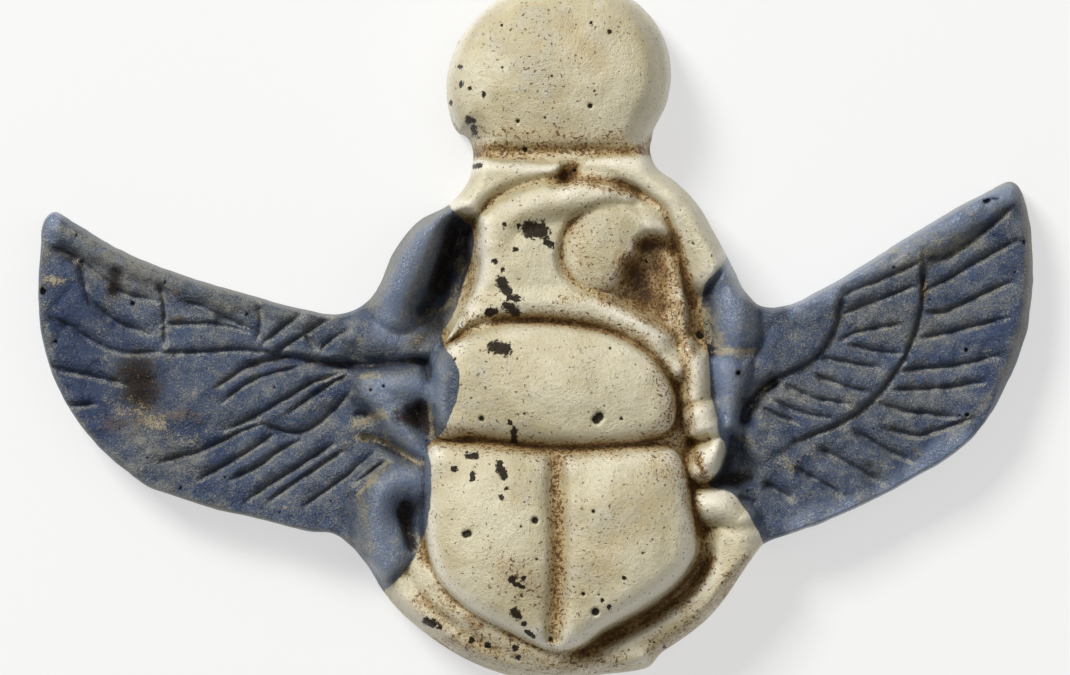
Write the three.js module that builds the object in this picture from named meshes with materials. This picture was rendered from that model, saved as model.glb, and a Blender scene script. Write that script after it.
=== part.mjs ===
// A winged scarab that holds a sun disk, cast in one piece of two-coloured glass.
// Millimetres. It lies on its flat back, relief up, with the disk towards +Y and the wings along X.
// The origin is under the middle of the piece, on the back.
import * as THREE from "three";

// Driving dimensions of the relief, in millimetres above the back
const FOOT = 0.8; // upright foot of the side wall
const WALL = 0.75; // width over which the side wall leans in and rounds over
const WING = 3.5; // plain face of a wing beside the body
const WING_THINNING = 0.03; // how much lower the wing's face gets for each millimetre outwards
const DISK = 6.2;
const FORELEG = 5.8;
const HEAD = 7;
const PRONOTUM = 7.8;
const WING_CASES = 8.1;
const LEG = 5.1;
const RIM = 4.6;

// The sun disk and the wing feathers
const DISK_CENTRE = [1.15, 12.43];
const DISK_HALF_WIDTH = 5.65;
const DISK_HALF_HEIGHT = 5.2;
const DISK_LEAN = 0.08; // sideways lean of the disk for each millimetre upwards
const DISK_NECK = 0.5; // angle below the disk's middle at which the outline leaves it
const FEATHER_GROOVE_DEPTH = 0.3;
const FEATHER_GROOVE_WIDTH = 0.26;
const ROW_LIFT = 0.35; // how far each row of feathers stands above the next row out

// Mesh steps
const OUTLINE_STEP = 0.56;
const FEATURE_STEP = 0.6;
const FILL_STEP = 1.1;
const FINEST_STEP = 0.27; // no two points of the face are nearer than this
const REFINING_ROUNDS = 6;
const POINTS_PER_ROUND = 520;
const BACK_ARRIS = 0.12; // rounding where the side wall meets the back

// A smooth curve through a few points. A third number in a point is the crest height there.
class Path {
  constructor(points, closed = false, step = 0.3) {
    const through = points.map(([x, y, z = 0]) => new THREE.Vector3(x, y, z));
    const curve = new THREE.CatmullRomCurve3(through, closed, "centripetal");
    this.length = curve.getLength();
    this.curve = curve;
    this.points = curve.getSpacedPoints(Math.max(2, Math.ceil(this.length / step)));
    this.box = new THREE.Box3().setFromPoints(this.points);
  }

  // The nearest place on the curve: its distance, its crest height and how far along it lies
  nearest(x, y, reach) {
    const { min, max } = this.box;
    if (x < min.x - reach || x > max.x + reach || y < min.y - reach || y > max.y + reach) return null;
    let best = reach * reach;
    let found = null;
    for (let i = 1; i < this.points.length; i += 1) {
      const a = this.points[i - 1];
      const b = this.points[i];
      const dx = b.x - a.x;
      const dy = b.y - a.y;
      const t = Math.min(1, Math.max(0, ((x - a.x) * dx + (y - a.y) * dy) / (dx * dx + dy * dy || 1)));
      const square = (a.x + t * dx - x) ** 2 + (a.y + t * dy - y) ** 2;
      if (square > best) continue;
      best = square;
      found = { z: a.z + t * (b.z - a.z), along: (i - 1 + t) / (this.points.length - 1) };
    }
    return found && { ...found, distance: Math.sqrt(best) };
  }

  // True for a point inside a closed curve
  holds(x, y) {
    let inside = false;
    for (let i = 1; i < this.points.length; i += 1) {
      const a = this.points[i - 1];
      const b = this.points[i];
      if (a.y > y !== b.y > y && x < a.x + ((y - a.y) / (b.y - a.y)) * (b.x - a.x)) inside = !inside;
    }
    return inside;
  }

  // How deep inside a closed curve a point lies, and how far outside as a minus number
  depth(x, y, reach) {
    const near = this.nearest(x, y, reach);
    const inside = this.holds(x, y);
    if (!near) return inside ? reach : -reach;
    return inside ? near.distance : -near.distance;
  }
}

// The larger of two heights, with the corner between them filled over a few tenths
function blend(a, b, fillet) {
  const share = Math.min(1, Math.max(0, 0.5 + (0.5 * (b - a)) / fillet));
  return a + share * (b - a) + fillet * share * (1 - share);
}

// A quarter-round rise from 0 at an edge to 1 at the given width
function rounded(depth, width) {
  const left = 1 - Math.min(1, Math.max(0, depth / width));
  return Math.sqrt(1 - left * left);
}

const features = [];
const featureLines = [];

// A round-backed ridge, which has fallen by its half width at that distance from its crest
function ridge(points, halfWidth, fillet = 0.35) {
  const path = new Path(points);
  featureLines.push({ path, offsets: [0] });
  features.push((x, y, z) => {
    const near = path.nearest(x, y, 2.2 * halfWidth);
    if (!near) return z;
    return blend(z, near.z - near.distance ** 2 / halfWidth, fillet);
  });
}

// A swelling with a rounded edge inside a closed outline
function swelling(points, edge, top, round, fillet = 0.3) {
  const path = new Path(points, true);
  featureLines.push({ path, offsets: [0, -0.5, 0.5] });
  features.push((x, y, z) => {
    const depth = path.depth(x, y, Math.max(round, 2.5));
    if (depth < -1.6) return z;
    const height = depth < 0 ? edge + 2.6 * depth : edge + (top - edge) * rounded(depth, round);
    return blend(z, height, fillet);
  });
}

// A groove that fades out at both ends
function groove(points, depth, width, fade = 0.12) {
  const path = new Path(points);
  featureLines.push({ path, offsets: [0, -1.5 * width, 1.5 * width] });
  features.push((x, y, z) => {
    const near = path.nearest(x, y, 3 * width);
    if (!near) return z;
    const ends = Math.min(1, Math.min(near.along, 1 - near.along) / fade + 0.25);
    return z - depth * ends * Math.exp(-((near.distance / width) ** 2));
  });
}

// A hollow or a lift of even height inside a closed outline
function terrace(points, lift, round) {
  const path = new Path(points, true);
  features.push((x, y, z) => z + lift * rounded(path.depth(x, y, round), round));
}

// One row of feathers: it runs from its inner edge to its outer edge, and grooves part its feathers.
// Each pair in cuts gives where a groove starts and ends, as shares of the inner and outer edge.
function featherRow(inner, outer, rows, cuts) {
  if (rows > 0) terrace([...inner, ...outer.toReversed()], rows * ROW_LIFT, 0.35);
  const from = new Path(inner).curve;
  const to = new Path(outer).curve;
  for (const [start, end, bow = 0] of cuts) {
    const a = from.getPointAt(start);
    const b = to.getPointAt(end);
    const middle = [(a.x + b.x) / 2 - bow * (b.y - a.y), (a.y + b.y) / 2 + bow * (b.x - a.x)];
    groove([[a.x, a.y], middle, [b.x, b.y]], FEATHER_GROOVE_DEPTH, FEATHER_GROOVE_WIDTH);
  }
}

// Evenly spread cuts, which lean by a share of the row from the inner edge to the outer
function evenCuts(count, first, last, lean) {
  return Array.from({ length: count }, (_, i) => {
    const share = first + ((last - first) * i) / (count - 1);
    return [share, Math.min(1, Math.max(0, share + lean))];
  });
}

// The outline, counter-clockwise from the left side of the disk's neck
const outlineStretches = {
  leftNeck: [[-3.5, 9.63], [-3.2, 9.03], [-3.2, 8.3], [-3.42, 7.42]],
  leftForeleg: [[-4.35, 6.3], [-5.95, 5.4], [-7.2, 3.85], [-7.9, 2.2], [-8.85, 1.1]],
  leftLeadingEdge: [[-10.1, 0.75], [-11.8, 1.02], [-14.05, 1.64], [-16.55, 2.35], [-18.8, 3.08],
    [-21.3, 4.18], [-23.6, 5.6]],
  leftTip: [[-24.25, 5.93], [-24.75, 5.45]],
  leftTrailingEdge: [[-25, 3.67], [-25.05, 1.43], [-24.75, -1.07], [-24.02, -3.1], [-22.85, -5.02],
    [-21.42, -6.5], [-19.6, -7.92], [-17.3, -8.78], [-14.3, -9.55], [-11.3, -10.25], [-10.15, -10.38]],
  leftArmpit: [[-9.35, -10.95], [-8.5, -12], [-7.6, -13.38]],
  base: [[-6.68, -14.45], [-5.15, -15.68], [-3.38, -16.75], [-1.3, -17.5], [0.95, -17.72],
    [3.45, -17.42], [5.65, -17.08], [6.3, -16.38], [7.68, -15.42], [8.85, -14.4], [10.1, -12.8],
    [10.85, -11.6]],
  rightArmpit: [[11.45, -10.88]],
  rightTrailingEdge: [[13.2, -10.25], [16.2, -9.05], [18.7, -7.75], [20.7, -6.6], [22.3, -5.17],
    [23.6, -3.08], [24.5, -1.07], [25.05, 1.93], [25, 4.42], [24.65, 6.33]],
  rightTip: [[24.25, 7.25], [23.8, 7.42]],
  rightLeadingEdge: [[22.95, 7], [20.7, 5.82], [17.7, 4.02], [14.7, 2.2], [12.7, 1.25], [11.45, 1.15]],
  rightForeleg: [[10.65, 1.75], [9.95, 3.05], [9.12, 4.6], [8.15, 6.25], [7.1, 7.35]],
  rightNeck: [[6.1, 8.1], [5.77, 8.95], [5.87, 9.63]],
};

// Points on the disk's ellipse, from one angle to another
function diskArc(from, to, count) {
  return Array.from({ length: count }, (_, i) => {
    const angle = from + ((to - from) * i) / (count - 1);
    const rise = DISK_HALF_HEIGHT * Math.sin(angle);
    return [
      DISK_CENTRE[0] + DISK_HALF_WIDTH * Math.cos(angle) + DISK_LEAN * rise,
      DISK_CENTRE[1] + rise,
    ];
  });
}

const outline = new Path(
  [...Object.values(outlineStretches).flat(), ...diskArc(-DISK_NECK, Math.PI + DISK_NECK, 15)],
  true,
  OUTLINE_STEP,
);

// Sun disk
swelling(diskArc(0, 2 * Math.PI, 24).slice(1), 2.4, DISK, 4.9);

// Left wing: a tip row, a covert row, shoulder scales and two lobes of flight feathers
const leftTipInner = [[-18.4, 2.73], [-18.8, 0.03], [-18.9, -1.48], [-18.2, -5.08]];
const leftTipOuter = [[-24.2, 5.12], [-24.7, 1.93], [-24.5, 0.17], [-23.2, -3.67], [-21.3, -5.92]];
const leftCovertInner = [[-14.3, 1.52], [-14.3, -0.38], [-13.6, -1.23]];
const leftCovertOuter = [[-18.3, 2.52], [-18.5, 0.03], [-18.65, -1.23]];
const leftScaleInner = [[-9.55, 0.42], [-9.3, -0.33], [-9.55, -1.18]];
const leftScaleOuter = [[-13.9, 1.32], [-13.7, -0.07], [-13.05, -1.18], [-11.8, -1.68]];
const upperLobeInner = [[-12.55, -1.57], [-11.3, -1.82], [-10.05, -2.17], [-9.2, -2.83], [-8.9, -3.67]];
const upperLobeOuter = [[-17.3, -2.33], [-16.55, -3.58], [-15.2, -4.83], [-13.3, -4.97], [-11.55, -5.17]];
const lowerLobeInner = [[-13.7, -4.83], [-12.3, -5.17], [-9.3, -5.62], [-8.05, -6.08], [-7.4, -6.67]];
const lowerLobeOuter = [[-19.8, -6.58], [-18.55, -7.67], [-15.05, -8.68], [-11.3, -9.28], [-9.55, -9.68]];
featherRow(leftTipInner, leftTipOuter, 0, [[0.2, 0.08], [0.5, 0.38, 0.06], [0.7, 0.62], [0.82, 0.78]]);
featherRow(leftCovertInner, leftCovertOuter, 1, [[0.35, 0.12], [0.62, 0.5], [0.98, 0.96]]);
featherRow(leftScaleInner, leftScaleOuter, 2, [[0.2, 0.3], [0.5, 0.6], [0.8, 0.85]]);
featherRow(lowerLobeInner, lowerLobeOuter, 0, [[0.02, 0.08, 0.03], ...evenCuts(6, 0.14, 0.97, 0.1)]);
featherRow(upperLobeInner, upperLobeOuter, 1, [[0.02, 0.15], [0.22, 0.38], [0.5, 0.62], [0.66, 0.9]]);

// Right wing: three rows, the outermost with the long flight feathers
const rightScaleInner = [[11.6, 0.82], [11.5, -0.57], [11.1, -2.08], [10.45, -3.33]];
const rightScaleEdge = [[15.2, 2.25], [15.25, 0.68], [14.8, -0.72], [13.45, -1.68], [11.95, -2.58], [10.7, -3.48]];
const rightCovertEdge = [[19.25, 4.65], [19.45, 2.92], [19.3, 0.93], [18.7, -0.97], [17.45, -3.23],
  [15.45, -5.08], [13.2, -5.95], [11.2, -7.08]];
const rightFlightEdge = [[23.8, 6.92], [24.25, 4.42], [24.4, 1.93], [24, -0.57], [23.2, -2.73], [21.45, -4.97],
  [18.95, -6.83], [15.7, -8.43], [12.2, -9.97]];
featherRow(rightCovertEdge, rightFlightEdge, 0, evenCuts(12, 0.07, 0.97, -0.02));
featherRow(rightScaleEdge, rightCovertEdge, 1, evenCuts(9, 0.06, 0.95, 0));
featherRow(rightScaleInner, rightScaleEdge, 2, []);
ridge([[12.4, 1, 3.7], [15, 2.1, 3.75], [19.5, 4.75, 3.6], [23.4, 6.75, 3.3]], 0.6);
ridge([[-12.4, 0.7, 3.7], [-16, 1.7, 3.7], [-20.6, 3.5, 3.5], [-23.8, 5.1, 3.3]], 0.55);

// Base rim and the ground between the legs
swelling(
  [[-7.1, -12.9], [-6.2, -8], [-6.3, -2], [-5, 0], [-2.5, 6.4], [4, 8], [7.6, 5.6], [9.2, 1], [9.6, -4],
    [10.4, -9.4], [9, -13.6], [5.4, -16.6], [1, -17.1], [-3.4, -16]],
  2.6, 3.7, 1,
);
ridge([[-7.1, -12.6, RIM], [-4.8, -14.7, RIM], [-2.3, -16, RIM - 0.1], [0.45, -16.75, RIM - 0.2],
  [3.2, -16.75, RIM - 0.2], [5.2, -16.3, RIM]], 0.95);
ridge([[10.3, -10.3, RIM + 0.4], [9.95, -11.6, RIM + 0.3], [8.95, -13.5, RIM + 0.2], [7.45, -15, RIM],
  [5.95, -16, RIM - 0.2]], 1.15);

// Wing cases, with the groove between them
swelling(
  [[-5.3, -5.75], [-3, -5.6], [0.9, -5.95], [5.2, -5.8], [6.95, -6.1], [7.6, -7.6], [7.95, -10.1],
    [7.95, -11.6], [6.7, -13.1], [5.2, -14.2], [3.45, -15.3], [1.6, -16.2], [-0.05, -15.75], [-1.8, -14.9],
    [-3.55, -13.9], [-4.8, -12.6], [-5.6, -10.8], [-5.65, -8.6]],
  5, WING_CASES, 2.6,
);
groove([[0.95, -6.1], [1.05, -8.5], [1.1, -11.6], [0.95, -14], [0.8, -15.9]], 1.3, 0.36, 0.04);

// Pronotum
swelling(
  [[-4.4, -0.85], [-3.3, -0.2], [-1.8, 0.25], [0.2, 0.3], [2.2, 0.15], [3.95, -0.2], [5.2, -0.85],
    [6.2, -1.7], [6.8, -2.8], [7, -3.85], [6.7, -5], [5.2, -5.75], [0.9, -5.92], [-3, -5.55],
    [-4.9, -5.4], [-5.4, -3.4], [-5.2, -2.1]],
  5.3, PRONOTUM, 1.7,
);

// Head: a smooth mass on the left, a brow, a round boss with its groove, and a collar below
swelling(
  [[-2.9, 4.6], [-1.9, 6.3], [0.2, 7], [2.7, 7.1], [4.7, 6.7], [6.2, 5.9], [6.9, 4.6], [7.5, 2.4],
    [7.9, 0.4], [7.7, -1.2], [5.2, 0.2], [1.2, 0.8], [-1.8, 0.8], [-4.5, -0.4], [-3.5, 1.5], [-2.9, 3.2]],
  4.6, HEAD - 1, 1.3,
);
ridge([[-1.3, 5, HEAD], [-0.75, 3.6, HEAD + 0.2], [-0.7, 1.9, HEAD]], 1.7);
ridge([[-0.8, 6, HEAD - 0.4], [1.2, 6.5, HEAD - 0.4], [3.2, 6.6, HEAD - 0.5], [5.2, 6.1, HEAD - 0.8]], 0.8);
ridge([[3.2, 4.3, HEAD + 0.1], [3.8, 3.9, HEAD + 0.1]], 1.7);
ridge([[5.6, 5.3, HEAD - 0.5], [6.4, 5, HEAD - 0.7]], 0.7);
ridge([[-0.3, 1.4, HEAD - 0.3], [2.2, 1.3, HEAD - 0.2], [4.2, 0.7, HEAD - 0.3], [5.95, -0.2, HEAD - 0.6],
  [7.3, -1.4, HEAD - 1]], 0.85);
groove([[4.2, 6.1], [2.9, 6], [1.8, 5.3], [1.2, 4.3], [1.1, 3.3], [1.6, 2.5], [2.7, 2], [3.7, 1.9]], 1.1, 0.33);
groove([[4.2, 1.9], [4.9, 3.2], [5.3, 4.2]], 1.2, 0.4);
groove([[5.9, 4], [5.5, 2.7], [5.3, 1.8]], 1.1, 0.5);
ridge([[6.6, 3.4, 6.2], [6.85, 1.9, 6.1], [6.9, 0.6, 6]], 0.55);

// Forelegs, which meet under the disk
ridge([[-4, 6.1, FORELEG], [-2.9, 7.1, FORELEG], [-1.2, 7.85, FORELEG + 0.1], [1, 8.1, FORELEG + 0.1]], 0.95);
ridge([[-4.2, 5.7, FORELEG], [-5.4, 4.95, FORELEG], [-6.3, 3.5, FORELEG], [-7, 1.8, FORELEG - 0.2],
  [-7.6, 0.5, FORELEG - 0.5]], 1.15);
ridge([[2.5, 8.1, FORELEG + 0.1], [4.3, 8, FORELEG + 0.1], [5.9, 7.35, FORELEG], [7.3, 5.8, FORELEG],
  [8.2, 3.9, FORELEG], [8.6, 2.2, FORELEG - 0.1]], 1);
ridge([[9.1, 2.4, FORELEG - 0.4], [9.4, 1.2, FORELEG - 0.5], [9.85, -0.3, FORELEG - 0.6],
  [10, -1.2, FORELEG - 0.7]], 1);
groove([[-3.2, 8.75], [-1, 8.72], [2, 8.8], [4.5, 8.72], [6, 8.7]], 1.5, 0.38, 0.05);
groove([[1.75, 8.8], [1.75, 7.2]], 1.3, 0.3);
groove([[-2.8, 5.7], [-1.8, 6.5], [-0.8, 7], [1.4, 7.5]], 0.9, 0.3);
groove([[2, 7.45], [4.2, 7.35], [5.7, 6.4], [6.6, 5.4], [7.1, 3.9], [7.6, 2], [7.9, 0.4]], 0.9, 0.3);

// Middle and hind legs: bent limbs on the left, a row of knuckles on the right
ridge([[-8.4, -0.35, LEG], [-7.1, -0.75, LEG]], 1.1);
ridge([[-8.5, -3, LEG], [-7.3, -3.1, LEG], [-6.4, -3.4, LEG]], 0.8);
ridge([[-7.5, -3.6, LEG], [-6.9, -4.6, LEG - 0.1], [-6.05, -5.6, LEG - 0.1], [-5.5, -6.1, LEG - 0.2]], 0.6);
ridge([[-6.1, -7.7, LEG], [-7, -7.6, LEG], [-7.75, -8.6, LEG], [-7.9, -9.9, LEG - 0.3], [-7.6, -11.2, LEG - 0.6],
  [-7.1, -12.3, LEG - 0.9]], 0.85);
groove([[-9.9, -2.1], [-8.6, -2.05], [-7, -1.95], [-5.9, -1.5]], 0.7, 0.35);
ridge([[7.75, -1.1, 5.9], [7.9, -3.3, 5.9]], 0.5);
for (const [x, y, halfWidth] of [[8.3, -4.5, 0.7], [8.65, -6.4, 0.75], [8.85, -9, 0.9]]) {
  ridge([[x - 0.15, y - 0.45, LEG + 1.1], [x + 0.15, y + 0.45, LEG + 1.1]], halfWidth);
}
ridge([[9, -1.4, LEG], [10.4, -1.2, LEG]], 0.45);
ridge([[9.6, -3.6, LEG - 0.2], [9.9, -4.8, LEG - 0.3], [9.7, -6, LEG - 0.5]], 0.7);

// Deep pit between the left foreleg and the head
terrace([[-4.3, 5.5], [-3.2, 5], [-3.3, 3], [-4, 1.6], [-5.2, 0.3], [-6.2, 0.6], [-5.9, 2.2], [-4.9, 4]], -0.7, 0.4);

// Height of the cast face over any point of the outline
function relief(x, y) {
  const plain = WING + 0.25 - WING_THINNING * Math.max(0, Math.abs(x) - 8);
  const carved = features.reduce((z, feature) => feature(x, y, z), plain);
  return FOOT + (carved - FOOT) * rounded(outline.depth(x, y, WALL), WALL);
}

// The face's triangles. Each new point retriangulates the circles that it lies in.
class Net {
  constructor() {
    const far = 500;
    this.points = [];
    this.corners = [[-far, -far], [far, -far], [0, far]];
    this.cells = new Map();
    this.triangles = [this.circle(-1, -2, -3)];
  }

  at(index) {
    return index < 0 ? this.corners[-1 - index] : this.points[index];
  }

  circle(a, b, c) {
    const [ax, ay] = this.at(a);
    const [bx, by] = [this.at(b)[0] - ax, this.at(b)[1] - ay];
    const [cx, cy] = [this.at(c)[0] - ax, this.at(c)[1] - ay];
    const d = 2 * (bx * cy - by * cx);
    const ux = (cy * (bx * bx + by * by) - by * (cx * cx + cy * cy)) / d;
    const uy = (bx * (cx * cx + cy * cy) - cx * (bx * bx + by * by)) / d;
    return { corners: [a, b, c], x: ax + ux, y: ay + uy, square: ux * ux + uy * uy };
  }

  // True if a point already stands nearer than the given way; the cells are a millimetre square
  crowded(x, y, clear) {
    for (let i = Math.floor(x - clear); i <= Math.floor(x + clear); i += 1) {
      for (let j = Math.floor(y - clear); j <= Math.floor(y + clear); j += 1) {
        const near = this.cells.get(i + "," + j) ?? [];
        if (near.some(([a, b]) => (a - x) ** 2 + (b - y) ** 2 < clear * clear)) return true;
      }
    }
    return false;
  }

  add(x, y) {
    const index = this.points.length;
    const cell = Math.floor(x) + "," + Math.floor(y);
    this.cells.set(cell, [...(this.cells.get(cell) ?? []), [x, y]]);
    this.points.push([x, y]);
    const kept = [];
    const edges = new Map();
    for (const triangle of this.triangles) {
      if ((triangle.x - x) ** 2 + (triangle.y - y) ** 2 >= triangle.square) {
        kept.push(triangle);
        continue;
      }
      const [a, b, c] = triangle.corners;
      for (const [from, to] of [[a, b], [b, c], [c, a]]) {
        if (!edges.delete(to + "," + from)) edges.set(from + "," + to, [from, to]);
      }
    }
    for (const [from, to] of edges.values()) kept.push(this.circle(from, to, index));
    this.triangles = kept;
  }

  addInside(x, y, clear, margin) {
    if (outline.depth(x, y, 1) >= margin && !this.crowded(x, y, clear)) this.add(x, y);
  }

  // The triangles inside the outline
  faces() {
    return this.triangles.map(({ corners }) => corners).filter((corners) => {
      if (Math.min(...corners) < 0) return false;
      const [x, y] = [0, 1].map((k) => corners.reduce((sum, i) => sum + this.points[i][k], 0) / 3);
      return outline.holds(x, y);
    });
  }
}

// The outline's own points come first, then rows beside it, the carving's lines and an even fill
const net = new Net();
const rimPoints = outline.points.slice(0, -1).map(({ x, y }) => [x, y]);
const rimCount = rimPoints.length;
rimPoints.forEach(([x, y]) => net.add(x, y));

// The point a given way inwards from one point of the outline
function inwards(i, inset) {
  const [x0, y0] = rimPoints[(i + rimCount - 1) % rimCount];
  const [x1, y1] = rimPoints[(i + 1) % rimCount];
  const length = Math.hypot(x1 - x0, y1 - y0);
  return [rimPoints[i][0] - (inset * (y1 - y0)) / length, rimPoints[i][1] + (inset * (x1 - x0)) / length];
}

for (const inset of [0.22, 0.65]) {
  for (let i = 0; i < rimCount; i += 1) net.addInside(...inwards(i, inset), 0.75 * inset, 0.85 * inset);
}

for (const { path, offsets } of featureLines) {
  const steps = Math.max(1, Math.round(path.length / FEATURE_STEP));
  for (const offset of offsets) {
    for (let i = 0; i <= steps; i += 1) {
      const at = path.curve.getPointAt(i / steps);
      const along = path.curve.getTangentAt(i / steps);
      net.addInside(at.x - offset * along.y, at.y + offset * along.x, 1.1 * FINEST_STEP, 0.4);
    }
  }
}

const rowStep = (FILL_STEP * Math.sqrt(3)) / 2;
for (let row = 0; row * rowStep < 36; row += 1) {
  for (let column = 0; column * FILL_STEP < 52; column += 1) {
    const wander = 0.05 * Math.sin(7 * column + 13 * row);
    const x = -26 + (column + (row % 2) / 2) * FILL_STEP + wander;
    net.addInside(x, -18 + row * rowStep - wander, 0.62 * FILL_STEP, 0.5);
  }
}

// Height of the finished face at one of its points
function faceHeight(index) {
  return index < rimCount ? FOOT : relief(...net.points[index]);
}

// The place on a triangle where it strays furthest from the carving
function worstPlace(face, heights) {
  const weights = [[1 / 3, 1 / 3, 1 / 3], [0.5, 0.5, 0], [0, 0.5, 0.5], [0.5, 0, 0.5]];
  const places = weights.map((weight) => {
    const mix = (value) => weight.reduce((sum, share, k) => sum + share * value(face[k]), 0);
    const [x, y] = [mix((i) => net.points[i][0]), mix((i) => net.points[i][1])];
    return { x, y, stray: Math.abs(relief(x, y) - mix((i) => heights[i])) };
  });
  return places.sort((a, b) => b.stray - a.stray)[0];
}

// More points, where the flat triangles stray most
for (let round = 0; round < REFINING_ROUNDS; round += 1) {
  const heights = net.points.map((_, i) => faceHeight(i));
  const worst = net.faces().map((face) => worstPlace(face, heights)).sort((a, b) => b.stray - a.stray);
  worst.slice(0, POINTS_PER_ROUND).forEach(({ x, y }) => net.addInside(x, y, FINEST_STEP, 0.12));
}

// The closed solid: the carved face, the foot of the wall, a narrow arris and the flat back
const vertices = net.points.map(([x, y], i) => [x, y, faceHeight(i)]);
const faces = net.faces();
const wallStart = vertices.length;
rimPoints.forEach(([x, y]) => vertices.push([x, y, BACK_ARRIS]));
const backStart = vertices.length;
rimPoints.forEach((_, i) => vertices.push([...inwards(i, BACK_ARRIS), 0]));
for (let i = 0; i < rimCount; i += 1) {
  const next = (i + 1) % rimCount;
  for (const [upper, lower] of [[0, wallStart], [wallStart, backStart]]) {
    faces.push([upper + i, lower + i, lower + next], [upper + i, lower + next, upper + next]);
  }
}
const backLoop = rimPoints.map((_, i) => new THREE.Vector2(...inwards(i, BACK_ARRIS)));
for (const [a, b, c] of THREE.ShapeUtils.triangulateShape(backLoop, [])) {
  faces.push([backStart + a, backStart + c, backStart + b]);
}

const geometry = new THREE.BufferGeometry();
geometry.setAttribute("position", new THREE.Float32BufferAttribute(vertices.flat(), 3));
geometry.setIndex(faces.flat());
geometry.computeVertexNormals();

const castGlass = new THREE.MeshStandardMaterial({ color: 0xd9d2bc, roughness: 0.45, metalness: 0 });
const scarab = new THREE.Mesh(geometry, castGlass);
scarab.name = "winged_scarab";

const group = new THREE.Group();
group.add(scarab);

export default group;
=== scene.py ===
import bpy
import numpy as np
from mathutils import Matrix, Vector
from mathutils.geometry import delaunay_2d_cdt


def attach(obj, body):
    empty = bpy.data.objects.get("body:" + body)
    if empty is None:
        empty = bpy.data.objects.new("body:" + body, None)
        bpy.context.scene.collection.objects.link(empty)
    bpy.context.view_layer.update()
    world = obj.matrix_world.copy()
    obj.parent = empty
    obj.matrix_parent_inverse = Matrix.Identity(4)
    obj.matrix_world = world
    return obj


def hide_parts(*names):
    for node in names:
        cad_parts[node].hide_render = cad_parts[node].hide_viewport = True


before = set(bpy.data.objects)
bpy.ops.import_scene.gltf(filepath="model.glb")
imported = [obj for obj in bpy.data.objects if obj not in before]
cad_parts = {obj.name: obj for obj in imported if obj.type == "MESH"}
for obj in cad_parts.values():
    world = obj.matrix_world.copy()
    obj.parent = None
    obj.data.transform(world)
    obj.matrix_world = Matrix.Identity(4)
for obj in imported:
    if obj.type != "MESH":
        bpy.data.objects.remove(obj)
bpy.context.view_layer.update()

# The view: the amulet lies on its back and the camera hangs straight over it, far enough off for the
# walls on all sides to stay thin. The photo shows the amulet's origin at one pixel, given here.
MM = 0.001
PHOTO_SIZE_PX = (1070, 675)
ORIGIN_PX = (536, 328.5)
PIXELS_PER_MM = 20
VIEW_DISTANCE = 420
MEAN_HEIGHT = 4
SENSOR_WIDTH = 36

view_x = (PHOTO_SIZE_PX[0] / 2 - ORIGIN_PX[0]) / PIXELS_PER_MM
view_y = (ORIGIN_PX[1] - PHOTO_SIZE_PX[1] / 2) / PIXELS_PER_MM
camera_data = bpy.data.cameras.new("camera")
camera_data.sensor_width = SENSOR_WIDTH
camera_data.lens = SENSOR_WIDTH * VIEW_DISTANCE / (PHOTO_SIZE_PX[0] / PIXELS_PER_MM)
camera = bpy.data.objects.new("camera", camera_data)
camera.location = Vector((view_x, view_y, MEAN_HEIGHT + VIEW_DISTANCE)) * MM
bpy.context.scene.collection.objects.link(camera)
bpy.context.scene.camera = camera


# The blank: one flat-backed pour of opaque glass, in millimetres. Its outline is that of the mould's
# mouth. The mould's own carving is a list of cuts, which the casting takes over further down.
SPAN_SAMPLES = 24
PAIRS_AT_ONCE = 4_000_000
LATTICE = 128


def smooth_curve(points, closed=False, step=0.12):
    """An even polyline along a smooth curve through a few points; further columns ride along."""
    through = np.array(points, float)
    if closed:
        padded = np.vstack([through[-1], through, through[:2]])
    else:
        padded = np.vstack([2 * through[0] - through[1], through, 2 * through[-1] - through[-2]])
    pieces = []
    for p0, p1, p2, p3 in zip(padded, padded[1:], padded[2:], padded[3:]):
        gaps = [max(np.hypot(*(b - a)[:2]), 1e-6) ** 0.5 for a, b in ((p0, p1), (p1, p2), (p2, p3))]
        t0, t1, t2, t3 = np.cumsum([0, *gaps])
        t = np.linspace(t1, t2, SPAN_SAMPLES, endpoint=False)[:, None]
        a1 = ((t1 - t) * p0 + (t - t0) * p1) / (t1 - t0)
        a2 = ((t2 - t) * p1 + (t - t1) * p2) / (t2 - t1)
        a3 = ((t3 - t) * p2 + (t - t2) * p3) / (t3 - t2)
        b1 = ((t2 - t) * a1 + (t - t0) * a2) / (t2 - t0)
        b2 = ((t3 - t) * a2 + (t - t1) * a3) / (t3 - t1)
        pieces.append(((t2 - t) * b1 + (t - t1) * b2) / (t2 - t1))
    dense = np.vstack([*pieces, through[:1] if closed else through[-1:]])
    along = np.cumsum([0, *np.hypot(*np.diff(dense[:, :2], axis=0).T)])
    count = max(3, int(round(along[-1] / step)) + 1)
    evenly = np.linspace(0, along[-1], count)
    return np.stack([np.interp(evenly, along, column) for column in dense.T], axis=1)


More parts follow.
